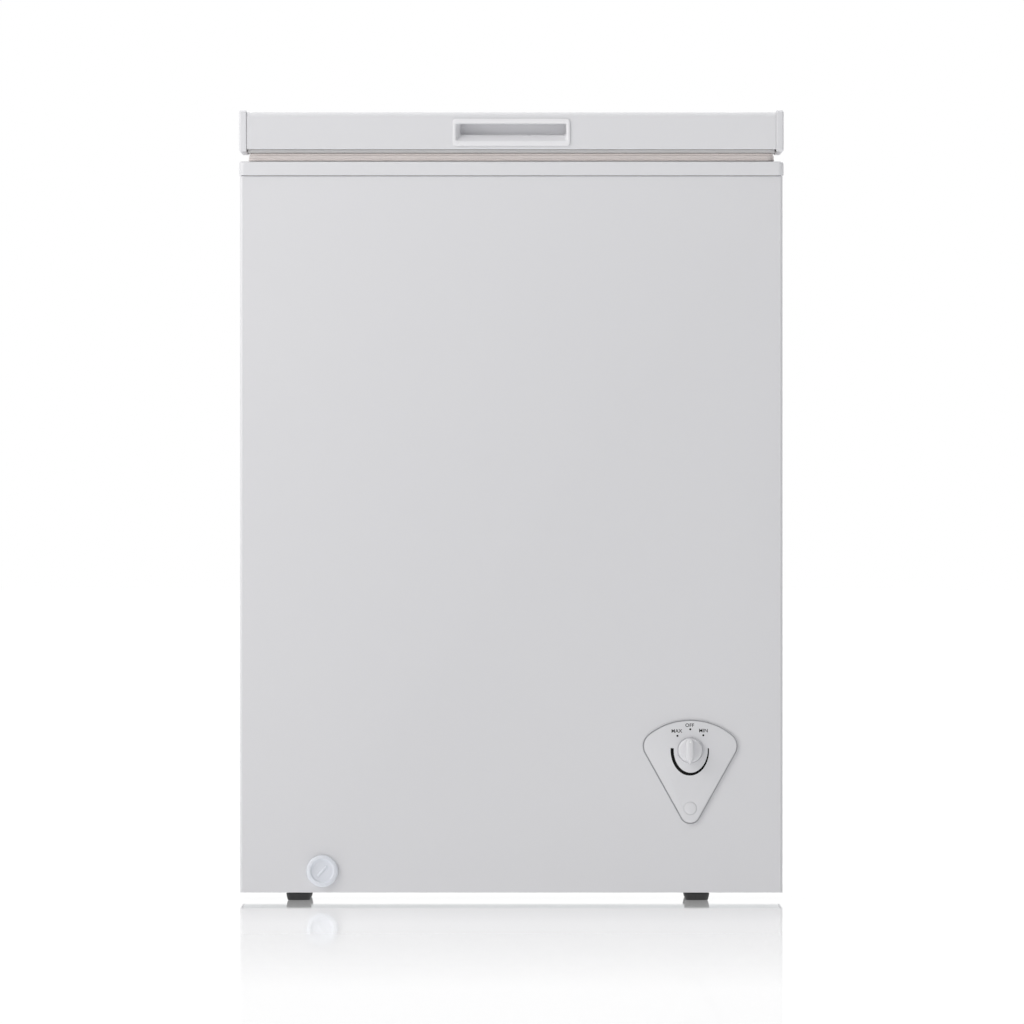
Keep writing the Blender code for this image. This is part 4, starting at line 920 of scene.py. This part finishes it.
bottom, ceiling = handle_z - finger_z, handle_z + finger_z
back = cup_high.y
bezel_x, bezel_z = cup_high.x, (cup_high.z - cup_low.z) / 2
for wider, lift, drop, y, radius, lean in (
        (-0.0014, 0.0078, -0.0006, back - 0.0018, 0.0014, 0.0046),
        (-0.0010, 0.0072, -0.0003, back - 0.0026, 0.0016, 0.0042),
        (-0.0007, 0.0064, -0.0002, face + 0.0094, 0.0018, 0.0034),
        (-0.0005, 0.0058, -0.0002, face + 0.0080, 0.0018, 0.0030),
        (-0.0002, 0.0006, -0.0001, face + 0.0024, 0.0020, 0.0002),
        (-0.0001, 0.0001, 0.0, face + 0.0012, 0.0022, 0.0)):
    loops.append(cup_loop(finger_x + wider, bottom + lift, ceiling + drop, y, radius, lean))
for grow, sink in ((0.0003, 0.0006), (0.0009, 0.0001), (0.0014, 0.0)):
    loops.append(cup_loop(finger_x + grow, bottom - grow, ceiling + grow, face + sink, 0.0023 + grow))
for inset, sink in ((0.0010, 0.0), (0.0004, 0.0002), (0.0001, 0.0006), (0.0, 0.0013)):
    loops.append(cup_loop(bezel_x - inset, handle_z - bezel_z + inset, handle_z + bezel_z - inset,
                          face + sink, 0.0036))
loops.append(cup_loop(finger_x + 0.0016, bottom - 0.0016, ceiling + 0.0016, face + 0.0014, 0.0030))
loops.append(cup_loop(finger_x + 0.0014, bottom - 0.0014, ceiling + 0.0014, back, 0.0030))
# The cup's white is lighter than the other mouldings of the same plastic: painted light, so the recess's
# sloping lower wall reads bright.
cup_painted_light_white = surface("cup_painted_light_white", (0.80, 0.80, 0.82), 0.30, mottle=0.01, cloud=30.0)
piece("handle_cup_moulding", loft(loops), cup_painted_light_white, "lid", "white_plastic", "handle_cup")


# ---------------------------------------------------------------- lid liner and seal retainer
# A vacuum-formed white panel closes the lid below, drawn down into a wide shallow field with two
# stiffening ribs. A strip round its edge holds the seal; its grey is painted shade that stands in for the
# shadow in the recessed lip under the lid.

liner_low, liner_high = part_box("lid_inner_panel")
plate_z = gasket_high.z + 0.0003
strip = 0.0080
loops = []
for inset, z in ((strip, liner_high.z), (strip, plate_z), (0.066, plate_z), (0.0700, plate_z - 0.0004),
                 (0.0745, plate_z - 0.0024), (0.0790, plate_z - 0.0029), (0.0835, plate_z - 0.0029)):
    loops.append(level_loop(liner_low, liner_high, inset, z, 0.006 + inset * 0.25, 8))
field = loft(loops)
ribs = []
for x in (-0.066, 0.066):
    rib = []
    for inset, rise in ((0, 0), (0.0016, 0.0010), (0.0040, 0.0016), (0.0052, 0.0017)):
        outline = round_rectangle((x - 0.009 + inset, -0.130 + inset), (x + 0.009 - inset, 0.112 - inset),
                                  0.0088 - inset, 8)
        rib.append([(u, v, plate_z - 0.0029 + rise) for u, v in outline])
    ribs.append(rib)
for rib in ribs:
    well = loft([[(u, v, z - 0.0020) for u, v, z in rib[0]]] + rib)
    field = carve(field, well)
liner_white = surface("lid_liner_styrene", (0.79, 0.80, 0.81), 0.42, mottle=0.015, cloud=5.0, grain=0.10,
                      size=0.0013)
piece("lid_liner_panel", field, liner_white, "lid", "white_plastic", "lid_inner_panel")

# The retainer's grey is painted shade: darker than the lid's white so that the recessed lip reads as a dark
# line in shadow.
retainer_painted_shade = surface("retainer_painted_shade_grey", (0.56, 0.555, 0.555), 0.5, mottle=0.04, cloud=20.0, grain=0.08,
                     size=0.001)
loops = []
for inset, z in ((0.0, liner_high.z), (0.0, plate_z + 0.0006), (0.0004, plate_z + 0.0002), (0.0010, plate_z)):
    loops.append(level_loop(liner_low, liner_high, inset, z, 0.006, 8))
for z in (plate_z, liner_high.z):
    loops.append(level_loop(liner_low, liner_high, strip - 0.0002, z, 0.006, 8))
piece("seal_retainer", loft(loops, around=True), retainer_painted_shade, "lid", "gasket_vinyl")


# ---------------------------------------------------------------- lid seal
# A soft magnetic seal of warm grey vinyl, extruded with hollow ribs and welded at its mitred
# corners, is pressed into the retainer and lies on the rim all round.

seal_vinyl = surface("seal_vinyl", (0.86, 0.800, 0.778), 0.52, mottle=0.02, cloud=14.0, grain=0.06,
                     size=0.0012)
tall = gasket_high.z - gasket_low.z
half = 0.0135 / 2
outer_side = [(1.0, 0.0020), (0.90, 0.0012), (0.82, 0.0016), (0.76, 0.0018), (0.68, 0.0008),
              (0.52, 0.0004), (0.40, 0.0003)]
outer_side += [(0.30, 0.0006), (0.25, 0.0008), (0.18, 0.0002), (0.10, 0.0), (0.03, 0.0004), (0.0, 0.0012)]
loops = []
for share, inward in outer_side + [(share, 0.0135 - inward) for share, inward in outer_side[::-1]]:
    z = gasket_low.z + tall * share
    loops.append(level_loop(gasket_low, gasket_high, inward, z, 0.008 - inward * 0.3, 8))
piece("lid_seal", loft(loops, around=True), seal_vinyl, "lid", "gasket_vinyl", "lid_gasket")


# ---------------------------------------------------------------- hinges
# Each of the two hinges is a zinc-plated bracket screwed to the rear panel, whose two cheeks carry a
# pin, a leaf screwed to the lid with a rolled barrel, and a coiled spring that takes the lid's weight.


def wire(points, radius, bend_radius=0.0, closed=False, sides=5):
    """A round wire through points, its corners bent to a radius."""
    path = []
    count = len(points)
    points = [Vector(p) for p in points]
    for i, here in enumerate(points):
        if not bend_radius or (not closed and i in (0, count - 1)):
            path.append(here)
            continue
        before, after = points[i - 1] - here, points[(i + 1) % count] - here
        start = here + before.normalized() * min(bend_radius, before.length * 0.45)
        end = here + after.normalized() * min(bend_radius, after.length * 0.45)
        for step in range(7):
            share = step / 6
            path.append(start * (1 - share) ** 2 + here * 2 * share * (1 - share) + end * share ** 2)
    curve = bpy.data.curves.new("wire", "CURVE")
    curve.dimensions = "3D"
    curve.bevel_depth = radius
    curve.bevel_resolution = sides
    curve.use_fill_caps = not closed
    spline = curve.splines.new("POLY")
    spline.points.add(len(path) - 1)
    for point, where in zip(spline.points, path):
        point.co = (*where, 1)
    spline.use_cyclic_u = closed
    return settled(placed("wire", curve))


hinge_y, hinge_z = next(j for j in frame["joints"] if j["name"] == "lid_hinge")["pos_m"][1:]
for name in ("left", "right"):
    low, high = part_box(f"hinge_bracket_{name}")
    x = (low.x + high.x) / 2
    plate_y = low.y
    cheek_at = (high.x - low.x) / 2 - 0.00075
    outline = arc((hinge_y, hinge_z), 0.015, 0, 180, 20)
    outline += [(hinge_y - 0.015, 0.776), (plate_y, 0.772), (plate_y, low.z + 0.002),
                (plate_y + 0.002, low.z)]
    outline += [(plate_y + 0.0135, low.z), (plate_y + 0.0155, low.z + 0.002)]
    parts = []
    for across in (-cheek_at, cheek_at):
        cheek = loft([[(x + across + half, y, z) for y, z in outline] for half in (-0.00075, 0.00075)])
        parts.append(cheek)
    parts.append(crate((x - cheek_at, plate_y, low.z + 0.002), (x + cheek_at, plate_y + 0.0018, 0.770),
                       0.0003, 2))
    for z in (0.718, 0.752):
        parts.append(screw_head(x, plate_y + 0.0018, z, 0.0040, REARWARD))
    piece(f"hinge_bracket_{name}_pressing", joined(*parts), bright_zinc, "cabinet", "zinc",
          f"hinge_bracket_{name}")

    start, end = x - 0.0165, x + 0.0020
    parts = []
    outline = round_rectangle((x - 0.0165, 0.8110), (x + 0.0165, 0.8430), 0.003, 5)
    leaf = [(px, plate_y, pz) for px, pz in outline]
    parts.append(loft([leaf, [(px, plate_y + 0.0018, pz) for px, y, pz in leaf]]))
    barrel = arc((hinge_y, hinge_z), 0.0062, 75, 405, 30)
    inner = arc((hinge_y, hinge_z), 0.0040, 405, 75, 30)
    parts.append(loft([[(px, y, z) for y, z in barrel + inner] for px in (start, end)]))
    web = ((plate_y, 0.8117), (hinge_y - 0.0040, 0.8117), (hinge_y + 0.0008, 0.8105),
           (hinge_y + 0.0016, 0.8052))
    strap = thickened([Vector(p) for p in web], -0.0016)
    parts.append(loft([[(px, p.x, p.y) for p in strap] for px in (start, end)]))
    for px in (x - 0.0095, x + 0.0095):
        parts.append(screw_head(px, plate_y + 0.0018, 0.8290, 0.0036, REARWARD))
    piece(f"hinge_leaf_{name}_pressing", joined(*parts), bright_zinc, "lid", "zinc", f"hinge_leaf_{name}")

    pin_low, pin_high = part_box(f"hinge_pin_{name}")
    long = (pin_high.x - pin_low.x) / 2
    shank = [(0, long), (0.0030, long - 0.0001), (0.0040, long - 0.0006), (0.0046, long - 0.0013),
             (0.0046, long - 0.0018), (0.0030, long - 0.0018)]
    shank += [(r, -h) for r, h in shank[::-1]]
    pin = lathe(shank, (x, hinge_y, hinge_z), RIGHTWARD, 32)
    piece(f"hinge_pin_{name}_turning", pin, bright_zinc, "cabinet", "zinc", f"hinge_pin_{name}")

    first, last = x + 0.0044, x + 0.0175
    coil = [(first, hinge_y - 0.0100, 0.760), (first, hinge_y - 0.0066, hinge_z - 0.010)]
    for i in range(131):
        turn = math.radians(-112) + 2 * math.pi * i / 26
        coil.append((first + (last - first) * i / 130, hinge_y + 0.0062 * math.cos(turn),
                     hinge_z + 0.0062 * math.sin(turn)))
    piece(f"hinge_spring_{name}_coil", wire(coil, 0.0011), bright_zinc, "cabinet", "zinc",
          f"hinge_spring_{name}")


# ---------------------------------------------------------------- storage basket
# A basket of welded steel wire dipped in white vinyl hangs in the tub by a bent rod at each end that
# lies on the rim. Thin wires run both ways under a thicker frame round its top.

wire_white = surface("vinyl_dipped_wire", (0.80, 0.80, 0.81), 0.34, coat=0.3, mottle=0.02, cloud=25.0,
                     grain=0.05, size=0.0012)
low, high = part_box("storage_basket")
hang = high.z - 0.0016
x0, x1 = low.x, high.x
y0, y1 = low.y + 0.031, high.y - 0.031
z0, z1 = low.z, trim_high.z - 0.0030
thin, thick = 0.0012, 0.0020
frame_loop = [(x0 + thick, y0 + thick), (x1 - thick, y0 + thick), (x1 - thick, y1 - thick),
              (x0 + thick, y1 - thick)]
wires = [wire([(x, y, z1 - thick) for x, y in frame_loop], thick, 0.018, True)]
narrow = 0.0015  # by how much the thin hoops lie inside the frame
middle_x = (x0 + x1) / 2
for level in (z0 + 0.045, z0 + 0.090, z0 + 0.135):
    hoop = []
    for x, y in frame_loop:
        hoop.append((x + math.copysign(narrow, middle_x - x), y + math.copysign(narrow, -y), level))
    wires.append(wire(hoop, thin, 0.018, True))
inward = thick + 0.0012
for i in range(14):
    y = y0 + 0.020 + (y1 - y0 - 0.040) * i / 13
    run = [(x0 + inward, y, z1 - thick), (x0 + inward, y, z0 + thin), (x1 - inward, y, z0 + thin),
           (x1 - inward, y, z1 - thick)]
    wires.append(wire(run, thin, 0.014))
for i in range(7):
    x = x0 + 0.020 + (x1 - x0 - 0.040) * i / 6
    run = [(x, y0 + inward, z1 - thick), (x, y0 + inward, z0 + 3 * thin), (x, y1 - inward, z0 + 3 * thin),
           (x, y1 - inward, z1 - thick)]
    wires.append(wire(run, thin, 0.014))
for y, out in ((y0, -1), (y1, 1)):
    inner_y = y - out * 0.0034
    tip = y + out * 0.0292
    run = [(x0 + 0.040, inner_y, z1 - 0.020), (x0 + 0.040, inner_y, hang), (x0 + 0.040, tip, hang)]
    run += [(x1 - 0.040, tip, hang), (x1 - 0.040, inner_y, hang), (x1 - 0.040, inner_y, z1 - 0.020)]
    wires.append(wire(run, 0.0016, 0.005))
piece("basket_wires", joined(*wires), wire_white, "basket", "basket_wire", "storage_basket")
